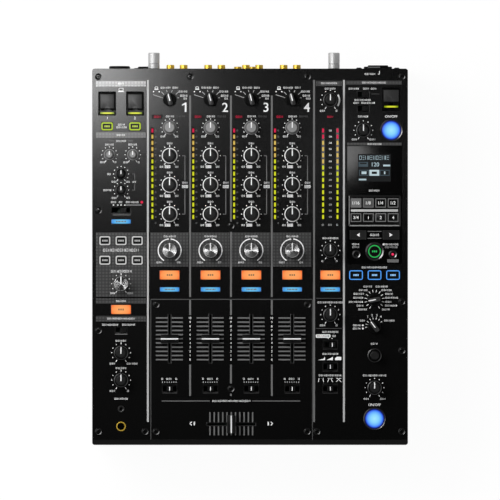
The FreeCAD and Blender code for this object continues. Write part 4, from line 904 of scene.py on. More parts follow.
def tap_key(name, box):
    """A round key with a lit green ring in a bright rim that slopes in towards it."""
    place, radius, height, rows = round_frame(box)
    mesh = bmesh.new()
    turned(mesh, rows + [
        (radius - 0.4, height - 0.1), (radius - 0.85, height - 0.1), (radius - 1.95, height - 0.05, 1),
        (radius - 2.3, height - 0.35), (0.1, height - 0.45),
    ])
    key_marks(mesh, 3, 1.9, 1.3, 1.9, height - 0.6, height - 0.25, 1)
    key_piece(name, mesh, [GLOSS_PLASTIC, GREEN_GLOW], place)
    mesh = bmesh.new()
    inner, outer = radius + 0.4, radius + 2.4
    hoop(mesh, [
        (inner, -0.2), (inner, 0.02), (inner + 0.1, 0.06), (outer - 0.5, 0.66), (outer - 0.4, 0.7),
        (outer, 0.7), (outer + 0.2, 0.05), (outer + 0.2, -0.2),
    ], [0, 1, 1, 1, 0, 0, 0, 0])
    spot = (place.x, place.y, BEZEL_TOP)
    piece(f"{name}_rim", mesh, [GLOSS_PLASTIC, RIM_GLOSS], CASE, spot)


def side_key(name, box, lit):
    """A small dished round key; one of the two has a red light in the middle."""
    place, radius, height, rows = round_frame(box)
    mesh = bmesh.new()
    turned(mesh, rows + [
        (radius - 0.25, height - 0.15), (radius - 0.4, height - 0.15, 1), (radius - 0.5, height - 0.19, 1),
        (radius - 1.5, height - 0.61, 1), (radius - 1.6, height - 0.65, 1), (1.2, height - 0.7),
    ])
    if lit:
        turned(mesh, [(1.35, height - 1.4), (1.35, height - 0.65, 2), (0.9, height - 0.5, 2)], steps=24)
    key_piece(name, mesh, [GLOSS_PLASTIC, RIM_GLOSS, RED_GLOW], place)


def dark_key(number, box):
    width, length, _ = size_of(box)
    x = middle_of(box).x
    is_round = abs(width - length) < 0.1
    if is_round and width > LARGE_ROUND:
        tap_key("tap_key", box)
    elif is_round:
        side_key(f"side_key_{number}", box, x > EFFECTS_X)
    elif x > MASTER_X and width > WIDE_KEY:
        beat_key(f"beat_key_{number}", box, -1 if x < EFFECTS_X else 1)
    elif x > MASTER_X:
        framed_key(f"band_key_{number}", box, BAND_GLOW, 0.6)
    elif box[0].y > USB_KEYS_FROM:
        framed_key(f"usb_key_{number}", box, LIME_GLOW, 0.9)
    else:
        framed_key(f"colour_key_{number}", box, WHITE_GLOW, 0.9)


def all_keys():
    for number, box in enumerate(solids("cue_buttons"), start=1):
        lit_key(f"cue_key_{number}", box, "cue_buttons", CUE_GLOW)
    for number, box in enumerate(solids("assign_buttons"), start=1):
        if size_of(box).x > size_of(box).y + 1:
            lit_key(f"assign_key_{number}", box, "assign_buttons", ASSIGN_GLOW)
        else:
            effect_key(f"effect_key_{number}", box)
    for number, box in enumerate(DARK_KEYS, start=1):
        dark_key(number, box)


# Slide switches: the trays have a width, a length and the length of the slot in them

DEEP_TRAY = (16.0, 10.4, 14.7)
FLAT_TRAY = (13.4, 7.6, 10.9)
LONG_TRAY = (21.4, 7.6, 19.2)
TRAY_SLOT_WIDTH = 5.4


def handle(name, box, node, line):
    """A ribbed slide handle with a line across it."""
    place, half_x, half_y, foot, top = mount(box)
    profile = mirrored([(half_x, foot), (half_x, top - 0.8), (half_x - 0.5, top - 0.2), (1.9, top - 0.2),
                        (1.6, top - 0.7), (1.3, top - 0.7), (1.0, top - 0.15)])
    mesh = bmesh.new()
    prism(mesh, profile, half_y)
    slab(mesh, rectangle(2 * half_y - 0.5, 0.9), top - 0.4, top, 1)
    piece(name, mesh, [BLACK_PLASTIC, line], node, place, math.pi / 2, [node])


def switch_tray(name, x, y, width, length, slot):
    """The shallow surround of a slide switch, open over its slot."""
    mesh = bmesh.new()
    stepped(mesh, [
        (width, length, 0.7, -INK_HEIGHT), (width, length, 0.7, 0.35), (width - 0.5, length - 0.5, 0.6, 0.6),
        (width - 0.8, length - 0.8, 0.5, 0.6), (max(width - 2.2, slot + 0.1), length - 2.2, 0.4, 0.1),
        (slot, TRAY_SLOT_WIDTH, 0.3, 0.1), (slot, TRAY_SLOT_WIDTH, 0.3, -INK_HEIGHT),
    ], [0, 0, 0, 1, 2, 2, 2], closed=True)
    piece(name, mesh, [GLOSS_PLASTIC, SLOPE, INKS[BLACK]], CASE, (x, y, TOP))


def all_switches():
    for node in ("three_way_switches", "two_way_switches"):
        for number, box in enumerate(solids(node), start=1):
            spot = middle_of(box)
            lower_row = spot.y < 0 and spot.x > LEFT_X + NEAR
            handle(f"{node}_handle_{number}", box, node, POINTER if lower_row else SLOPE)
    for number, x in CHANNEL_X.items():
        switch_tray(f"crossfade_tray_{number}", x, CROSSFADE_Y, *DEEP_TRAY)
    for number, y in enumerate(CURVE_ROWS, start=1):
        switch_tray(f"curve_tray_{number}", MASTER_X, y, *DEEP_TRAY)
    switch_tray("mic_tray", LEFT_X, MIC_SWITCH_Y, *LONG_TRAY)
    switch_tray("headphone_tray", LEFT_X, HEADPHONE_SWITCH_Y, *FLAT_TRAY)
    for number, y in enumerate(AUX_ROWS, start=1):
        switch_tray(f"aux_tray_{number}", AUX_X, y, *FLAT_TRAY)


# Covers and wells of the USB ports

BARREL = 1.2
WELL_WALL = 1.2
PORT, PORT_MOUTH = (12.0, 11.0, 0.6), (8.8, 7.8, 0.4)
PORT_HEIGHT, TONGUE_HEIGHT, PORT_FLOOR = 10.2, 9.0, 2.4
LEFT_LIGHT_INSET, RIGHT_LIGHT_INSET = 1.9, 4.2


def cover(name, box, node, side, front, notch):
    """A black flap with a hinge barrel behind, and on it a grey panel set in from the side and the front."""
    place, half_width, half_length, _, _ = mount(box)
    place.z = box[1].z
    hinge_y = half_length - BARREL
    mesh = bmesh.new()
    flap = notched(half_width, -half_length, hinge_y, 2.8)
    edge = notched(half_width - 0.2, -half_length + 0.2, hinge_y, 3.0)
    loft(mesh, [raised(flap, -1.8), raised(flap, -0.4), raised(edge, -0.3)], [1, 1])
    near, far = front - half_length, hinge_y - 0.7
    rings = []
    for bevel, level in ((0.0, -0.4), (0.0, -0.12), (0.3, -0.02)):
        outline = notched(half_width - side - bevel, near + bevel, far - bevel, notch + bevel)
        rings.append(raised(outline, level))
    loft(mesh, rings)
    scoop = [(x, y + near) for x, y in circle(notch + 0.4, 2 * NOTCH_STEPS) if y > -0.01]
    slab(mesh, scoop, -0.45, -0.2)
    prism(mesh, [(hinge_y + y, -BARREL + z) for y, z in circle(BARREL * 0.98, 16)], half_width, 1)
    piece(name, mesh, [COVER, SOCKET_BLACK], node, place, stands_for=[node])


def well(number, box):
    """The cup under a cover, the USB port in it, the light bar at its front and the rim round it."""
    place, half_width, half_length, bottom, rim = mount(box)
    width, length = 2 * half_width, 2 * half_length
    inner_width, inner_length = width - 2 * WELL_WALL, length - 2 * WELL_WALL
    inner = (inner_width, inner_length, 0.5)
    mesh = bmesh.new()
    stepped(mesh, [(width, length, 0.8, bottom), (width, length, 0.8, rim - 0.02), (*inner, rim - 0.02),
                   (*inner, bottom + WELL_WALL)])
    socket_piece(f"usb_well_{number}", mesh, [BLACK_PLASTIC], place)
    mesh = bmesh.new()
    mouth, port_floor = bottom + PORT_HEIGHT, bottom + PORT_FLOOR
    stepped(mesh, [(*PORT, bottom + WELL_WALL), (*PORT, mouth), (*PORT_MOUTH, mouth),
                   (*PORT_MOUTH, port_floor)], [2, 2, 0])
    slab(mesh, rectangle(7.6, 1.8, 0, 1.4), port_floor, bottom + TONGUE_HEIGHT, 1)
    socket_piece(f"usb_port_{number}", mesh, [SILVER, INSULATOR, SOCKET_BLACK], place)
    mesh = bmesh.new()
    bar_y = (RIGHT_LIGHT_INSET if place.x > 0 else LEFT_LIGHT_INSET) - inner_length / 2
    slab(mesh, rounded(inner_width - 0.2, 2.8, 0.3, 0, bar_y), rim - 3.0, rim - 1.4)
    slab(mesh, rounded(14.8, 1.8, 0.5, 0, bar_y), rim - 1.6, rim - 1.0, 1)
    socket_piece(f"usb_light_{number}", mesh, [SOCKET_BLACK, PORT_GLOW], place)
    mesh = bmesh.new()
    outer = (inner_width + 1.4, inner_length + 1.4, 1.0)
    stepped(mesh, [(*inner, -0.2), (*inner, 0.1), (*outer, 0.1), (*outer, -INK_HEIGHT)], closed=True)
    piece(f"usb_surround_{number}", mesh, [SOCKET_BLACK], CASE, place)


# Sockets on the rear wall and the headphone jacks

COLLAR_DEPTH, COLLAR_FACE = -4.5, -1.6
INLET_FLOOR = -17.0
INLET_SCREW_X = 20.0

# Sockets are told apart by their widths and by how far they reach past the rear edge
INLET_WIDTH, ROUND_WIDTH, JACK_WIDTH = 30, 20, 12
WELL_WIDTH, LARGE_JACK_WIDTH = 19, 11
TERMINAL_REACH, REAR_REACH = 10, -5


def rear_piece(name, mesh, materials, spot):
    """Turn a mesh so that its heights run to the rear, and set it on the rear wall."""
    bmesh.ops.rotate(mesh, verts=mesh.verts, cent=(0, 0, 0), matrix=Matrix.Rotation(-math.pi / 2, 3, "X"))
    socket_piece(name, mesh, materials, (spot.x, REAR_Y, spot.z))


def rear_turned(name, spot, collar, barrel, rows, materials, steps=48):
    """A turned socket with a collar behind the panel and a barrel through it."""
    mesh = bmesh.new()
    behind = [(collar, COLLAR_DEPTH), (collar, COLLAR_FACE), (barrel, COLLAR_FACE)]
    turned(mesh, behind + rows, steps=steps)
    rear_piece(name, mesh, materials, spot)


def phono(name, spot, reach):
    rear_turned(name, spot, 5.7, 4.1, [
        (4.1, reach - 0.3), (3.8, reach), (3.2, reach), (3.0, reach - 0.8), (1.75, reach - 0.9, 1),
        (1.7, reach - 1.0), (1.7, -11.0),
    ], [GOLD, INSULATOR])


def jack(name, spot, reach):
    rear_turned(name, spot, 7.0, 5.4, [
        (5.4, reach - 0.5), (4.9, reach), (4.0, reach), (3.5, reach - 0.6, 1), (3.25, reach - 0.6, 1),
        (3.2, -8.0),
    ], [SOCKET_BLACK, SILVER])


def round_socket(name, spot, reach):
    """A three-pin socket: a black shell, a bright rim and three contacts on its floor."""
    rear_turned(name, spot, 12.5, 10.9, [
        (10.9, reach - 0.6), (10.2, reach), (9.4, reach), (8.95, reach - 0.5, 1), (8.9, reach - 1.0),
        (8.9, -9.0),
    ], [SOCKET_BLACK, SILVER])
    mesh = bmesh.new()
    for x, y in circle(4.4, 3):
        turned(mesh, [(1.2, -9.2), (1.2, -5.0), (0.9, -4.6)], x, y, steps=16)
    rear_piece(f"{name}_contacts", mesh, [GOLD], spot)


def terminal(name, spot, reach):
    """A ground terminal: a brushed silver nut with a groove round it."""
    rear_turned(name, spot, 6.1, 4.0, [
        (4.0, 0.3), (5.6, 0.3), (6.0, 0.6), (6.0, 4.9), (5.5, 5.2), (5.5, 5.5), (6.0, 5.8),
        (6.0, 6.1, 0, 0.1), (6.0, reach - 0.7, 0, 0.1), (5.4, reach - 0.1), (3.0, reach), (2.0, reach - 0.4),
    ], [NUT_SILVER], steps=RIM_STEPS)


def inlet(spot, width, height, reach):
    """The mains inlet: a black shroud with a stepped face, three blades in it and a screw on each side."""
    shoulder, shroud = 29.6, 21.0
    mesh = bmesh.new()
    stepped(mesh, [
        (width, height, 1.5, -4.0), (width, height, 1.5, -1.7), (shoulder, height - 4.0, 1.5, -1.7),
        (shoulder, height - 4.0, 1.5, reach - 1.2), (shoulder - 1.2, height - 4.8, 1.2, reach - 0.8),
        (shroud + 1.0, height - 5.4, 1.2, reach - 0.8), (shroud, height - 6.0, 1.2, reach + 0.4),
        (shroud - 0.8, height - 6.6, 1.0, reach + 0.6), (shroud - 3.4, height - 9.0, 0.8, reach + 0.6),
        (shroud - 3.8, height - 9.4, 0.6, INLET_FLOOR),
    ])
    for x in (-3.6, 0, 3.6):
        slab(mesh, rectangle(1.8, 4.0, x), INLET_FLOOR - 0.2, -3.0, 1)
    for x in (-INLET_SCREW_X, INLET_SCREW_X):
        turned(mesh, [(2.9, -INK_HEIGHT), (2.9, 1.4), (2.0, 2.0), (1.2, 2.0), (1.0, 1.2)], x, steps=32)
    rear_piece("mains_inlet", mesh, [SOCKET_BLACK, SILVER], spot)


def headphone_jack(name, box, nut, bore, metal):
    """A threaded bush with a bright nut round the hole for the plug."""
    place, half, _, foot, top = mount(box)
    mesh = bmesh.new()
    turned(mesh, [
        (half, foot), (half, -11.5, 1), (nut, -11.4, 1), (nut, top - 0.5), (nut - 0.6, top),
        (nut - 0.75, top), (bore + 0.05, top - 0.4), (bore, top - 0.9, 1), (bore, top - 14.0, 1),
    ])
    socket_piece(name, mesh, [metal, BLACK_PLASTIC], place)


def rear_socket(number, box, reach):
    """One socket of the rear wall, told apart by its size."""
    spot = middle_of(box)
    width, _, height = size_of(box)
    if width > INLET_WIDTH:
        inlet(spot, width, height, reach)
    elif reach > TERMINAL_REACH:
        terminal(f"ground_terminal_{number}", spot, reach)
    elif width > ROUND_WIDTH:
        round_socket(f"round_socket_{number}", spot, reach)
    elif width > JACK_WIDTH:
        jack(f"jack_{number}", spot, min(reach, 0.9))
    else:
        phono(f"phono_{number}", spot, reach)


def all_sockets():
    wells = []
    for number, box in enumerate(solids("sockets"), start=1):
        reach = box[1].y - REAR_Y
        width = size_of(box).x
        if reach >= REAR_REACH:
            rear_socket(number, box, reach)
        elif width > WELL_WIDTH:
            wells.append(box)
        elif width > LARGE_JACK_WIDTH:
            headphone_jack("headphone_jack_large", box, 4.9, 3.75, GOLD)
        else:
            headphone_jack("headphone_jack_small", box, 3.4, 1.85, BLACK_PLASTIC)
    for number, box in enumerate(wells, start=1):
        well(number, box)


# Screws, feet and meters

def screws():
    """Heads with a sloping rim, a dark groove and a flat middle with a six-sided hole."""
    steps = 36
    mesh = bmesh.new()
    for box in solids("panel_screws"):
        x, y, _ = middle_of(box)
        head = box[1].z
        middle = head - 0.1
        rows = [Row(*row) for row in (
            (1.5, box[0].z), (1.5, TOP), (3.5, TOP), (3.6, TOP + 0.3), (3.6, head - 0.1), (3.55, head),
            (3.5, head - 0.02), (2.8, head - 0.32), (2.75, head - 0.34), (2.6, head - 0.6, 1),
            (2.45, head - 0.6, 1), (2.35, head - 0.15, 1), (2.25, middle),
        )]
        rings = [raised(circle(row.radius, steps, x, y), row.height) for row in rows]
        hole = [raised(hexagon(0.85, steps, x, y), middle), raised(hexagon(0.75, steps, x, y), head - 1.2)]
        loft(mesh, rings + hole, [row.finish for row in rows[1:]] + [0, 1])
    piece("panel_screw_heads", mesh, [SCREW, SOCKET_BLACK], CASE, stands_for=["panel_screws"])


def feet():
    mesh = bmesh.new()
    for box in solids("rubber_feet"):
        x, y, _ = middle_of(box)
        top = box[1].z
        turned(mesh, [(11.0, 0.0), (12.0, 0.6), (12.3, 2.0), (11.9, 2.4), (11.9, 3.0), (12.6, 3.4),
                      (14.0, top - 0.4), (13.8, top)], x, y, steps=64)
    piece("feet", mesh, [RUBBER], CASE, stands_for=["rubber_feet"])


def meters():
    """Lit segments on the lens strips: red at the rear, then amber, then yellow."""
    width, length = SEGMENT_WIDTH, SEGMENT_LENGTH
    side = (width, length, 0.5)
    rows = [(*side, -INK_HEIGHT), (*side, 0.1), (width - 0.3, length - 0.3, 0.4, 0.15)]
    for number, box in enumerate(METER_STRIPS, start=1):
        reds, ambers = (1, 4) if number <= len(CHANNELS) else (2, 4)
        mesh = bmesh.new()
        for step in range(SEGMENT_COUNT):
            colour = 0 if step < reds else 1 if step < reds + ambers else 2
            stepped(mesh, rows, [colour] * 2, y=-step * SEGMENT_PITCH)
        place = (middle_of(box).x, FIRST_SEGMENT_Y, TOP)
        lights = [RED_LED, AMBER_LED, YELLOW_LED]
        piece(f"meter_segments_{number}", mesh, lights, CASE, place)


# The print, area by area

# Ends of the lines, from rear to front; those between channels have gaps, and the middle one two more
DIVIDER_REAR, DIVIDER_FRONT = REAR_Y - 12.0, FRONT_Y + 24.2
LINE_ENDS = [at("source_selector_1").y + 4.5, PLATE_REAR + 2.4, PLATE_REAR - 0.8, FADER_Y + 25.1,
             FADER_Y - 27.2, CROSSFADE_Y - 7.7]
SCREW_GAP_ENDS = [28.6, 17.6, -142.0, -153.0]


def print_dividers():
    """Lines between the columns; the middle one leaves room for two screws."""
    ink = Print("dividers")
    for x, colour in ((LEFT_X + 28.25, PALE), (MASTER_X - 17.15, GREY), (MASTER_X + 14.35, PALE)):
        ink.post(x, DIVIDER_REAR, DIVIDER_FRONT, 2.0, colour)
    for number in CHANNELS[:-1]:
        ink.move(CHANNEL_X[number] + CHANNEL_PITCH / 2)
        ends = sorted(LINE_ENDS + SCREW_GAP_ENDS, reverse=True) if number == 2 else LINE_ENDS
        for rear, front in zip(ends[::2], ends[1::2]):
            ink.post(0, rear, front, 1.9)
        for step, row in enumerate(FADER_ROWS):
            ink.text(str(SCALE_STEPS - step), 0, row, 2.2)
    ink.done()


def print_source(ink):
    """Ticks and captions round a source selector, with a small drawing of a computer."""
    for start, end in (((-17.3, 5.4), (-7.6, 2.2)), ((-8.8, 8.4), (-6.0, 5.6)), ((-3.4, 10.4), (-2.6, 8.3)),
                       ((2.8, 10.1), (1.9, 7.8)), ((9.3, 8.3), (6.4, 5.6)), ((9.9, 2.1), (8.1, 2.1))):
        ink.stroke(start, end, 0.6, PALE)
    ink.words(12.8, (-4.4, 10), (6, 6.2))
    ink.words(8.7, (14.3, 9.6))
    ink.caption(15.2, 4.3, 8.2, height=2.1)
    ink.words(1.3, (16.9, 4.4))
    ink.box(-14, 12.6, 3.4, 2.6)
    ink.bar(-14, 11.0, 4.2, 0.7)
    for x in (-17, -11):
        ink.dot(x, 8.6, 0.7)


def print_equaliser(ink, node):
    ink.scale(node, 10.3, -11.6, (-8.2, 4.2), (7.6, 3.6), top_tick=True)
    ink.words(13.0, (0, 5.5))
    ink.bar(-2.2, -11.6, 5.8, 2.9)
    ink.over(-2.2, -11.6, 4.6, height=1.9)


def print_bracket(ink, high, middle, low):
    """Lines that tie three equaliser knobs together, with captions between them."""
    ink.post(0, high, middle + 4.6, 0.9)
    ink.post(0, middle - 4.2, low, 0.9)
    for y in (high, low):
        ink.bar(-1.5, y, 3.0, 0.9, GREY)
    ink.words(middle + 2.4, (0, 5.4))
    ink.bar(0, middle - 1.7, 6.2, 3.2)
    ink.over(0, middle - 1.7, 4.8, height=2.0)


def print_channel(number):
    ink = Print(f"channel_print_{number}")
    x = CHANNEL_X[number]
    ink.move(x, at(f"source_selector_{number}").y)
    print_source(ink)
    if number == 1:
        ink.figure_one(15.4, -7.9, 9.8)
    else:
        ink.text(str(number), 15.4, -7.9, 9.8)
    ink.scale(f"trim_knob_{number}", 9.07, -9.4, (-7.3, 4.6), (7.3, 3.6), legs=148)
    ink.shape(rounded(11.2, 4.4, 0.6, -13.2, 11.4), BLACK)
    ink.over(-13.2, 11.4, 6.4, RED_INK, 2.2)
    ink.words(11.8, (0.4, 8.6))
    ink.words(11.8, (12.3, 9.8), ink=DIM)
    nodes = [f"{name}_knob_{number}" for name in ("high", "middle", "low")]
    for node in nodes:
        print_equaliser(ink, node)
    ink.move(x + 16.1)
    print_bracket(ink, *[at(node).y for node in nodes])
    ink.move(x - 14.6, FIRST_SEGMENT_Y)
    for step in range(SEGMENT_COUNT + 1):
        ink.caption(0, -step * SEGMENT_PITCH, 2.0, GREY, 1.5)
    ink.move(x, at(f"colour_knob_{number}").y)
    ink.bar(-0.2, 1.05, 40.4, 36.1, WOVEN)
    ink.height += INK_HEIGHT
    for first, last in ((-150, -5), (5, 150)):
        ink.arc(0, 0, 12.1, 1.1, first, last)
    ink.words(14.8, (0, 12.5))
    ink.words(-12.6, (-10.8, 6.2), (9.6, 3.6))
    ink.done()


def print_crossfader(ink):
    """The scale of the crossfader, the line behind it and an arrow on each side."""
    cross = at("crossfader")
    ink.move(cross.x, CROSSFADE_Y - 13.0)
    for start, end in ((-73.4, -22.7), (22.0, 72.6)):
        ink.bar((start + end) / 2, 0, end - start, 0.9, GREY)
    ink.words(0, (0, 40.0))
    ink.move(cross.x, cross.y)
    for step in range(-5, 6):
        for y in (7.4, -6.4):
            ink.bar(step * 4.5, y, 1.4, 10.6, GREY)
    for side in (-1, 1):
        tip = side * 43.6
        for end in (2.6, -1.2):
            ink.stroke((tip, 0.7), (tip - side * 1.9, end), 0.9)
        ink.bar(tip - side * 4.6, 0.7, 1.2, 3.6)


def print_plate_edge(ink):
    """A fine grey line round the rear and the sides of the fader plate: a painted highlight on the plate's
    edge.
    """
    low, high = box_of("fader_plate")
    ink.move(0)
    ink.bar((low.x + high.x) / 2, high.y - 0.1, high.x - low.x, 0.9, DIM)
    for x in (low.x + 0.1, high.x - 0.1):
        ink.post(x, high.y - 0.8, low.y, 0.8, DIM)


def print_faders():
    ink = Print("fader_print")
    for x in CHANNEL_X.values():
        ink.move(x)
        for row in FADER_ROWS:
            for left, right in ((-14.6, -1.9), (1.9, 13.9)):
                ink.bar((left + right) / 2, row, right - left, 1.45, GREY)
        ink.move(x, CROSSFADE_Y)
        ink.words(10.3, (-7.9, 1.6), (-0.7, 5.6), (6.9, 1.6))
        for step in range(-3, 4):
            ink.bar(-0.4 + step * 2.4, 6.9, 0.8, 1.3, PALE)
    print_crossfader(ink)
    print_plate_edge(ink)
    ink.done()


def slot_lip(name, node, width, length):
    """A fine bevelled lip round the slot of a fader."""
    mesh = bmesh.new()
    inner, outer = (width, length, 0.2), (width + 1.8, length + 1.8, 0.5)
    stepped(mesh, [(*inner, -INK_HEIGHT), (*inner, 0.06), (width + 1.5, length + 1.5, 0.4, 0.36),
                   (*outer, 0.28), (*outer, -INK_HEIGHT)], [1, 0, 1, 1, 1], closed=True)
    place = mount(box_of(node))[0]
    piece(name, mesh, [SLOPE, GLOSS_PLASTIC], CASE, place)


def print_mic(ink):
    """Captions round the microphone knobs, with lines that tie the tone knobs together."""
    ink.move(LEFT_X, at("mic_level_knob_1").y)
    ink.words(14.4, (0, 10.2))
    for x in (-9.8, 9.9):
        ink.bar(x, 14.6, 5.2, 0.6, GREY)
    for number in (1, 2):
        ink.scale(f"mic_level_knob_{number}", 8.2, -8.0, (-7.4, 4.6), (6.4, 1.6))
        ink.words(10.7, (0, 9.2))
    for node, word, line in (("mic_high_knob", (-12.7, 3.6), -3.0), ("mic_low_knob", (-14.6, 8.2), 3.0)):
        ink.scale(node, 7.9, -8.3, (-7.5, 4.6), (7.6, 3.8), first=-150)
        ink.words(-0.1, word)
        ink.bar(14.3, line, 0.6, 6.0, GREY)
        ink.bar(13.1, 0, 2.6, 0.6, GREY)
    ink.move(LEFT_X, (at("mic_high_knob").y + at("mic_low_knob").y) / 2)
    ink.words(0, (14.3, 4.4))


def print_mic_switch(ink):
    ink.move(LEFT_X, MIC_SWITCH_Y)
    ink.words(8.5, (-8.0, 5.2), (0.0, 4.4), (12.0, 13.6))
    for x in (-8.0, -3.4, 0.0, 4.0):
        ink.bar(x, 5.5, 1.4, 1.0)
    ink.bar(13.4, 5.5, 16.6, 0.5, PALE)
    ink.dot(21.9, 8.5, 1.45, RED_INK)
    ink.bar(0.6, -4.9, 18.6, 0.8, GREY)


def print_colour_keys(ink):
    """The woven ground under the colour keys, with the marks of the dial in front of them."""
    ink.move(LEFT_X, at("parameter_knob").y)
    ink.bar(-0.2, 20.15, 52.5, 68.1, WOVEN)
    ink.height += INK_HEIGHT
    ink.caption(0, 35.4, 37.8, height=3.0)
    ink.scale("parameter_knob", 10.0, -10.1, (-8.8, 5.2), (9.6, 6.0), top_tick=True)
    ink.caption(0.2, 13.1, 21.6, height=2.5)
    ink.height -= INK_HEIGHT


def print_headphones(ink):
    ink.move(LEFT_X, HEADPHONE_SWITCH_Y)
    ink.band(-0.2, 30.5, 52.6, 5.7, 10.0, WOVEN)
    ink.band(-0.2, 12.0, 52.6, 6.0, 28.6, WOVEN)
    ink.words(5.5, (-11.6, 16.6), (8.0, 13.4))
    ink.bar(0.2, -4.5, 13.0, 0.8, GREY)
    for node, right in (("headphone_mix_knob", (11.8, 11.4)), ("headphone_level_knob", (7.4, 1.8))):
        ink.scale(node, 10.0, -11.4, (-9.2, 5.4), right, top_tick=True)
        ink.words(12.7, (0, 11.6))
    ink.words(-19.6, (0, 14.2))


def print_left_column():
    ink = Print("left_print", LEFT_X, USB_KEY_Y)
    ink.band(-0.2, 45.0, 52.6, 5.9, 6.0, SILVER_BAND)
    ink.box(0, 38.8, 4.8, 3.2)
    ink.bar(0, 36.7, 6.2, 0.9)
    for figure, x in (("1", -14.5), ("2", 14.6)):
        ink.text(figure, x, 8.8, 2.7)
    ink.words(1.8, (0.4, 7.0))
    ink.words(-1.0, (0.4, 10.4))
    ink.band(-0.2, -9.1, 52.6, 5.8, 8.6)
    print_mic(ink)
    print_mic_switch(ink)
    print_colour_keys(ink)
    print_headphones(ink)
    ink.done()


def print_curves(ink):
    """Captions and small drawings of the curves behind three slide switches."""
    third, second, first = CURVE_ROWS
    ink.move(MASTER_X, first)
    ink.words(13.5, (0, 16.6))
    ink.shape(rounded(15.6, 3.6, 1.2, -7.6, 9.2))
    ink.over(-7.6, 9.2, 13.0, height=2.0)
    ink.words(9.2, (4.4, 4.2))
    for x in (-2.2, 1.8):
        ink.shape([(x - 0.7, 7.0), (x + 0.7, 7.0), (x, 5.9)])
    ink.move(MASTER_X, second)
    ink.words(13.5, (0, 16.4))
    ink.shape([(-13.2, 7.0), (-5.6, 7.0), (-5.6, 10.4), (-7.4, 8.2)])
    ink.shape([(-4.0, 7.0), (2.8, 7.0), (2.8, 10.4)])
    ink.shape([(4.8, 7.0), (11.6, 7.0), (11.6, 10.4), (7.0, 10.4), (5.2, 9.2)])
    ink.move(MASTER_X, third)
    ink.words(14.0, (-0.4, 23.6))
    foot, top = 7.0, 11.2
    for middle, spread in ((-9.8, 1.9), (-0.3, 0.7), (8.8, -1.4)):
        for side in (-1, 1):
            ink.stroke((middle + side * 2.7, foot), (middle + side * spread, top), 0.6)
            ink.stroke((middle + side * spread, top - 0.25), (middle - side * 2.7, top - 0.25), 0.5)


def print_master():
    ink = Print("master_print", MASTER_X, FIRST_SEGMENT_Y)
    ink.band(-1.4, 49.8, 27.2, 5.3, 16.6)
    ink.words(14.5, (0, 6.2), ink=RED_INK)
    for step in range(SEGMENT_COUNT):
        ink.caption(0, -step * SEGMENT_PITCH, 2.6, WORDS if step < 6 else PALE, 1.6)
    ink.words(-99.5, (-7.9, 1.6), (-0.3, 3.6), (7.2, 1.6), ink=PALE)
    ink.move(MASTER_X, at("booth_level_knob").y)
    for y in (17.2, -14.6):
        ink.bar(-1.2, y, 27.2, 0.6, DIM)
    ink.move(MASTER_X, at("master_level_knob").y)
    ink.words(11.7, (0, 11.4))
    for angle in range(-120, 31, 30):
        ink.dot(*spoke(10.0, math.radians(angle)))
    for side in (-1, 1):
        ink.stroke((side * 4.3, -7.5), (side * 5.5, -9.6))
    ink.arc(-1.0, -0.4, 10.6, 1.7, 57, 124)
    ink.words(-11.6, (-8.4, 5.2), (6.6, 1.8))
    for node, title, left in (("balance_knob", 16.6, 2.0), ("booth_level_knob", 26.6, 5.2)):
        ink.scale(node, 10.0, -11.3, (-8.2, left), (6.8, 1.8))
        ink.words(12.9, (0, title))
    print_curves(ink)
    ink.done()


# Rows of the effect selector's captions, with the inner end and the width of the left and the right one
EFFECT_ROWS = (
    (13.9, -2.6, 9.0, 1.2, 12.4),
    (10.1, -7.2, 9.2, 7.4, 10.4),
    (6.2, -11.4, 10.6, 11.4, 7.8),
    (2.1, -12.2, 10.2, 11.6, 13.4),
    (-2.3, -12.4, 14.6, 11.6, 6.4),
    (-6.2, -11.4, 7.4, 11.2, 12.4),
    (-10.2, -8.0, 9.0, 8.0, 7.8),
)


def print_effect_selector(ink):
    ink.move(EFFECTS_X, at("effect_selector").y)
    ink.words(34.1, (0, 26.6))
    gaps = 2 * len(EFFECT_ROWS) - 1
    for number in range(gaps + 1):
        ink.tick(-150 + 300 * number / gaps, 8.0, 10.6)
    for row, left, left_width, right, right_width in EFFECT_ROWS:
        ink.words(row, (left - left_width / 2, left_width), (right + right_width / 2, right_width))


def print_channel_selector(ink):
    ink.move(EFFECTS_X, at("effect_channel_selector").y)
    for angle in (-94, -74, -54, -31, -10, 12, 33, 54):
        ink.tick(angle, 7.8, 9.8)
    for number, x, y in ((1, -7.2, 10.6), (2, -2.5, 12.0), (3, 2.4, 12.0), (4, 6.7, 10.6)):
        ink.text(str(number), x, y, 2.3)
    ink.words(6.4, (-13.0, 5.2), (15.6, 11.2))
    for y in (1.4, -2.0):
        ink.words(y, (-18.8, 7.8))
        ink.dot(-12.4, y, 1.0)


def print_effects():
    ink = Print("effects_print", EFFECTS_X, at("send_level_knob").y)
    ink.words(59.3, (-4.4, 11.8))
    ink.bar(5.2, 60.7, 0.7, 3.6)
    ink.bar(4.4, 59.1, 1.6, 0.7)
    ink.band(-0.7, 50.2, 58.9, 4.4, 24.6)
    ink.words(43.8, (-22.0, 10.4), (-8.6, 6.6), (-1.0, 5.4))
    ink.bar(1.0, 38.3, 8.6, 0.5, DIM)
    ink.words(31.9, (-12.6, 16.6))
    ink.words(28.8, (-19.0, 6.6), (-11.6, 4.6), (-4.0, 8.4))
    ink.band(-0.1, -14.6, 57.6, 3.1, 14.4)
    ink.scale("send_level_knob", 9.9, -9.7, (-9.4, 5.2), (9.6, 6.0))
    ink.words(14.5, (-0.3, 10.4))
    ink.text("ON/OFF", REAR_ROUND_X - AUX_X, 14.5, 2.6)
    print_effect_selector(ink)
    print_channel_selector(ink)
    ink.move(EFFECTS_X, at("time_knob").y)
    ink.words(12.3, (0, 7.6))
    ink.scale("depth_knob", 9.9, -11.8, (-8.7, 5.2), (8.9, 6.0))
    ink.words(12.9, (0, 24.4))
    ink.text("ON/OFF", 0, -18.0, 2.6)
    ink.done()


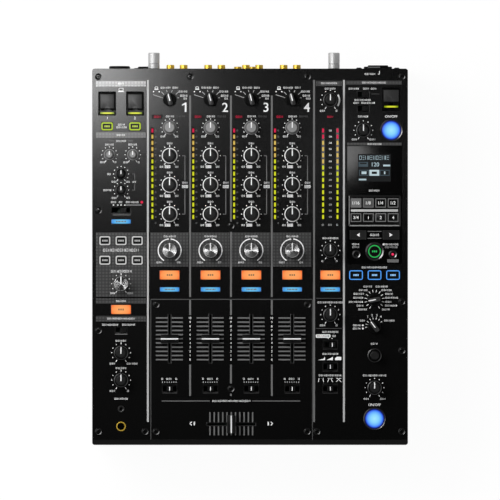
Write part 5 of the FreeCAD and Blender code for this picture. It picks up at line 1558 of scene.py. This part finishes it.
def print_bezel():
    """Marks on the glossy plate, counted from the middle between its two arrow keys."""
    ink = Print("bezel_print", EFFECTS_X, BEAT_Y, BEZEL_TOP)
    ink.words(46.7, (0, 11.6))
    ink.caption(0, 0, 9.4, height=2.2)
    for y in (3.7, -3.6):
        ink.bar(0, y, 14.6, 0.8, GREY)
    for y, spot, colour in ((-9.8, (-19.5, 7.6), WORDS), (-12.8, (-19.5, 7.6), PALE),
                            (-10.0, (17.6, 15.4), WORDS), (-13.0, (17.6, 13.0), PALE)):
        ink.words(y, spot, ink=colour)
    ink.dot(9.6, -10.0, 1.1)
    ink.shape(rounded(12.2, 3.4, 0.6, 19.4, -27.4), GREY)
    ink.done()


# The screen and the touch strip

SCREEN_X, SCREEN_Y = EFFECTS_X - 0.2, BEZEL_Y + 39.25
STRIP_Y = BEZEL_Y - 6.45
STRIP_WIDTH, STRIP_LENGTH = 54.6, 32.6
PAD_TOP = BEZEL_TOP + 0.82
FIRST_PAD_X = EFFECTS_X - 19.6
PAD_PITCH = 13.06

# Rows of pads: place on the strip, length of a pad and the figures
PAD_ROWS = ((8.6, 9.8, ("1/16", "1/8", "1/4", "1/2")), (-6.8, 9.2, ("3/4", "1", "2", "4")))


def display():
    """The lit figures of the small screen: plates in four layers, a number and a row of marks."""
    light, dim, dark = 0, 1, 2
    plates = [
        (0, 0.0, 0.0, 34.6, 29.0, dark), (1, -11.7, 3.6, 10.0, 5.0, dim), (1, 13.0, 2.4, 7.4, 1.8, light),
        (1, -10.9, -5.3, 10.4, 6.2, dim), (1, 0.0, -5.3, 10.4, 6.2, light), (1, 10.9, -5.3, 10.4, 6.2, dim),
        (1, -12.4, -12.4, 7.8, 1.7, light), (2, -11.7, 4.6, 7.0, 1.4, dark), (2, 0.0, -5.3, 5.4, 2.6, dark),
        (2, -10.9, -5.3, 8.8, 4.6, dark), (2, 10.9, -5.3, 8.8, 4.6, dark), (3, -10.9, -5.3, 5.2, 2.8, light),
        (3, 10.9, -5.3, 1.4, 2.8, light),
    ]
    mesh = bmesh.new()
    for layer, x, y, width, length, colour in plates:
        low = layer * INK_HEIGHT if layer else -0.1
        slab(mesh, rectangle(width, length, x, y), low, (layer + 1) * INK_HEIGHT, colour)
    piece("display_figures", mesh, [SCREEN_LIGHT, SCREEN_DIM, SCREEN_DARK], CASE,
          (SCREEN_X, SCREEN_Y, BEZEL_TOP))
    ink = Print("display_number", EFFECTS_X, SCREEN_Y, BEZEL_TOP + 2 * INK_HEIGHT)
    ink.text("120", 1.0, 3.5, 4.3, light)
    ink.caption(0, 10.6, 32.0, light, 4.2)
    piece("display_number", ink.mesh, [SCREEN_LIGHT], CASE)


def touch_strip():
    """The raised strip with its eight pads, the bright bar between their rows and a painted highlight along
    its front bevel.
    """
    width, length = STRIP_WIDTH, STRIP_LENGTH
    mesh = bmesh.new()
    rings = [raised(rounded(width, length, 0.8), level) for level in (-INK_HEIGHT, 0.05)]
    for inset_x, inset_y, radius, level in ((2.0, 3.4, 0.6, 0.9), (3.4, 4.8, 0.5, 0.9), (3.8, 5.2, 0.4, 0.8)):
        rings.append(raised(rounded(width - inset_x, length - inset_y, radius, 0, 0.4), level))
    loft(mesh, rings)
    stepped(mesh, [(49.6, 2.4, 0.6, 0.7), (49.6, 2.4, 0.6, 0.95), (48.8, 1.4, 0.4, 1.15)], [1, 1], y=0.6)
    # A grey ledge on the front bevel: a painted highlight on the strip's lower edge
    slab(mesh, [(-26.8, -15.9), (26.8, -15.9), (25.4, -14.7), (-25.4, -14.7)], 0.3, 0.75, 2)
    piece("touch_strip", mesh, [GLOSS_PLASTIC, STRIP_BAR, STRIP_EDGE_HIGHLIGHT], CASE,
          (EFFECTS_X, STRIP_Y, BEZEL_TOP))
    ink = Print("touch_pads", FIRST_PAD_X, STRIP_Y, PAD_TOP)
    fills = {"1/16": GREY, "1/8": DIM}
    for row, tall, figures in PAD_ROWS:
        for column, figure in enumerate(figures):
            x = column * PAD_PITCH
            if figure in fills:
                ink.bar(x, row, 11.0, tall - 0.4, fills[figure])
                ink.height += INK_HEIGHT
            ink.box(x, row, 11.3, tall, 1.0, GREY)
            ink.text(figure, x, row, 3.4)
            ink.height = PAD_TOP
    ink.done()


# Studio: floor, light and camera

CAMERA_X, CAMERA_Y = -0.05, -1.44
CAMERA_DISTANCE = 12000.0
FRAME_WIDTH = 527.4
SENSOR = 36.0
FLOOR_SIZE = 16000


def floor_material():
    """Pale floor that reads as white to the eye and keeps a soft shadow."""
    made, tree, surface = new_surface("pale_floor")
    path = tree.nodes.new("ShaderNodeLightPath")
    seen = path.outputs["Is Camera Ray"]
    for kind in ("Is Glossy Ray", "Is Transmission Ray"):
        seen = worked_out(tree, "ShaderNodeMath", "MAXIMUM", seen, path.outputs[kind])
    dress(tree, surface, Base_Color=(0.06, 0.06, 0.06, 1), Roughness=0.9, Specular_IOR_Level=0.0,
          Emission_Color=(1, 1, 1, 1), Emission_Strength=remap(tree, seen, 0.0, 0.95))
    return made


def floor():
    mesh = bmesh.new()
    slab(mesh, rectangle(FLOOR_SIZE, FLOOR_SIZE), -20, 0)
    mesh_object("floor", mesh, [floor_material()])


def sky():
    """A room that is bright near the horizon and dark overhead."""
    world = bpy.data.worlds.new("studio")
    bpy.context.scene.world = world
    world.use_nodes = True
    tree = world.node_tree
    direction = add(tree, "ShaderNodeTexCoord").outputs["Generated"]
    height = add(tree, "ShaderNodeSeparateXYZ", Vector=direction).outputs["Z"]
    levels = ((0.0, 0.95), (0.35, 0.7), (0.72, 0.12), (0.93, 0.012))
    light = ramp(tree, height, [(place, grey(level)) for place, level in levels])
    dress(tree, tree.nodes["Background"], Color=light, Strength=1.0)


def lamp(name, place, size, power, aim=None, turn=0.0):
    """A soft box, in metres and watts, that points at the panel or straight at a given spot."""
    data = bpy.data.lights.new(name, "AREA")
    data.shape = "RECTANGLE"
    data.size, data.size_y = size
    data.energy = power
    made = bpy.data.objects.new(name, data)
    bpy.context.scene.collection.objects.link(made)
    made.location = place
    direction = (aim or Vector((0, 0, TOP * MM))) - Vector(place)
    made.rotation_euler = direction.to_track_quat("-Z", "Y").to_euler()
    made.rotation_euler.z += turn
    made.visible_camera = False


def lights():
    lamp("key_light", (-1.00, 0.76, 1.30), (0.8, 0.6), 17.0)
    lamp("side_light", (-1.30, 0.14, 1.15), (0.6, 0.8), 9.0)
    lamp("fill_light", (1.20, -0.62, 1.10), (1.4, 1.2), 5.0)
    corner, bezel = Vector((-0.184, 0.2021, 0)), Vector((0.101, 0.1091, 0))
    lamp("corner_light", (-0.184, 0.202, 0.62), (0.11, 0.11), 0.7, corner)
    lamp("bezel_light", (0.101, 0.109, 0.95), (0.05, 0.05), 0.03, bezel, math.radians(45))


def camera():
    data = bpy.data.cameras.new("camera")
    data.sensor_width = SENSOR
    data.lens = SENSOR * CAMERA_DISTANCE / FRAME_WIDTH
    data.clip_end = 100.0
    made = bpy.data.objects.new("camera", data)
    bpy.context.scene.collection.objects.link(made)
    made.location = Vector((CAMERA_X, CAMERA_Y, TOP + CAMERA_DISTANCE)) * MM
    bpy.context.scene.camera = made


def all_knobs():
    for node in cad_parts:
        if node.startswith("source_selector"):
            selector(node, SOURCE_REST)
        elif node in TURNED_REST:
            selector(node, TURNED_REST[node])
        elif node.startswith("colour_knob") or node == "parameter_knob":
            dial(node)
        elif "knob" in node:
            plain_knob(node)


def build():
    for node, material in (("chassis", STEEL), ("top_panel", PANEL), ("fader_plate", PANEL),
                           ("control_boards", BOARD), ("power_switch", BLACK_PLASTIC),
                           ("display_and_meter_lenses", LENS)):
        paint(node, material)
    all_knobs()
    for number in CHANNELS:
        fader(f"channel_fader_{number}", 0)
    fader("crossfader", 90)
    all_keys()
    all_switches()
    for number, box in enumerate(solids("usb_covers"), start=1):
        cover(f"usb_cover_{number}", box, "usb_covers", 1.25, 1.5, 2.6)
    cover("aux_cover", solids("aux_usb_cover")[0], "aux_usb_cover", 0.5, 4.2, 1.4)
    all_sockets()
    screws()
    feet()
    meters()
    print_dividers()
    for number in CHANNELS:
        print_channel(number)
    print_faders()
    print_left_column()
    print_master()
    print_effects()
    print_bezel()
    display()
    touch_strip()
    for number in CHANNELS:
        slot_lip(f"fader_lip_{number}", f"channel_fader_{number}", SLOT_WIDTH, SLOT_LENGTH)
    slot_lip("crossfader_lip", "crossfader", SLOT_LENGTH, SLOT_WIDTH)


build()
floor()
sky()
lights()
camera()
bpy.context.scene.view_settings.view_transform = "Standard"
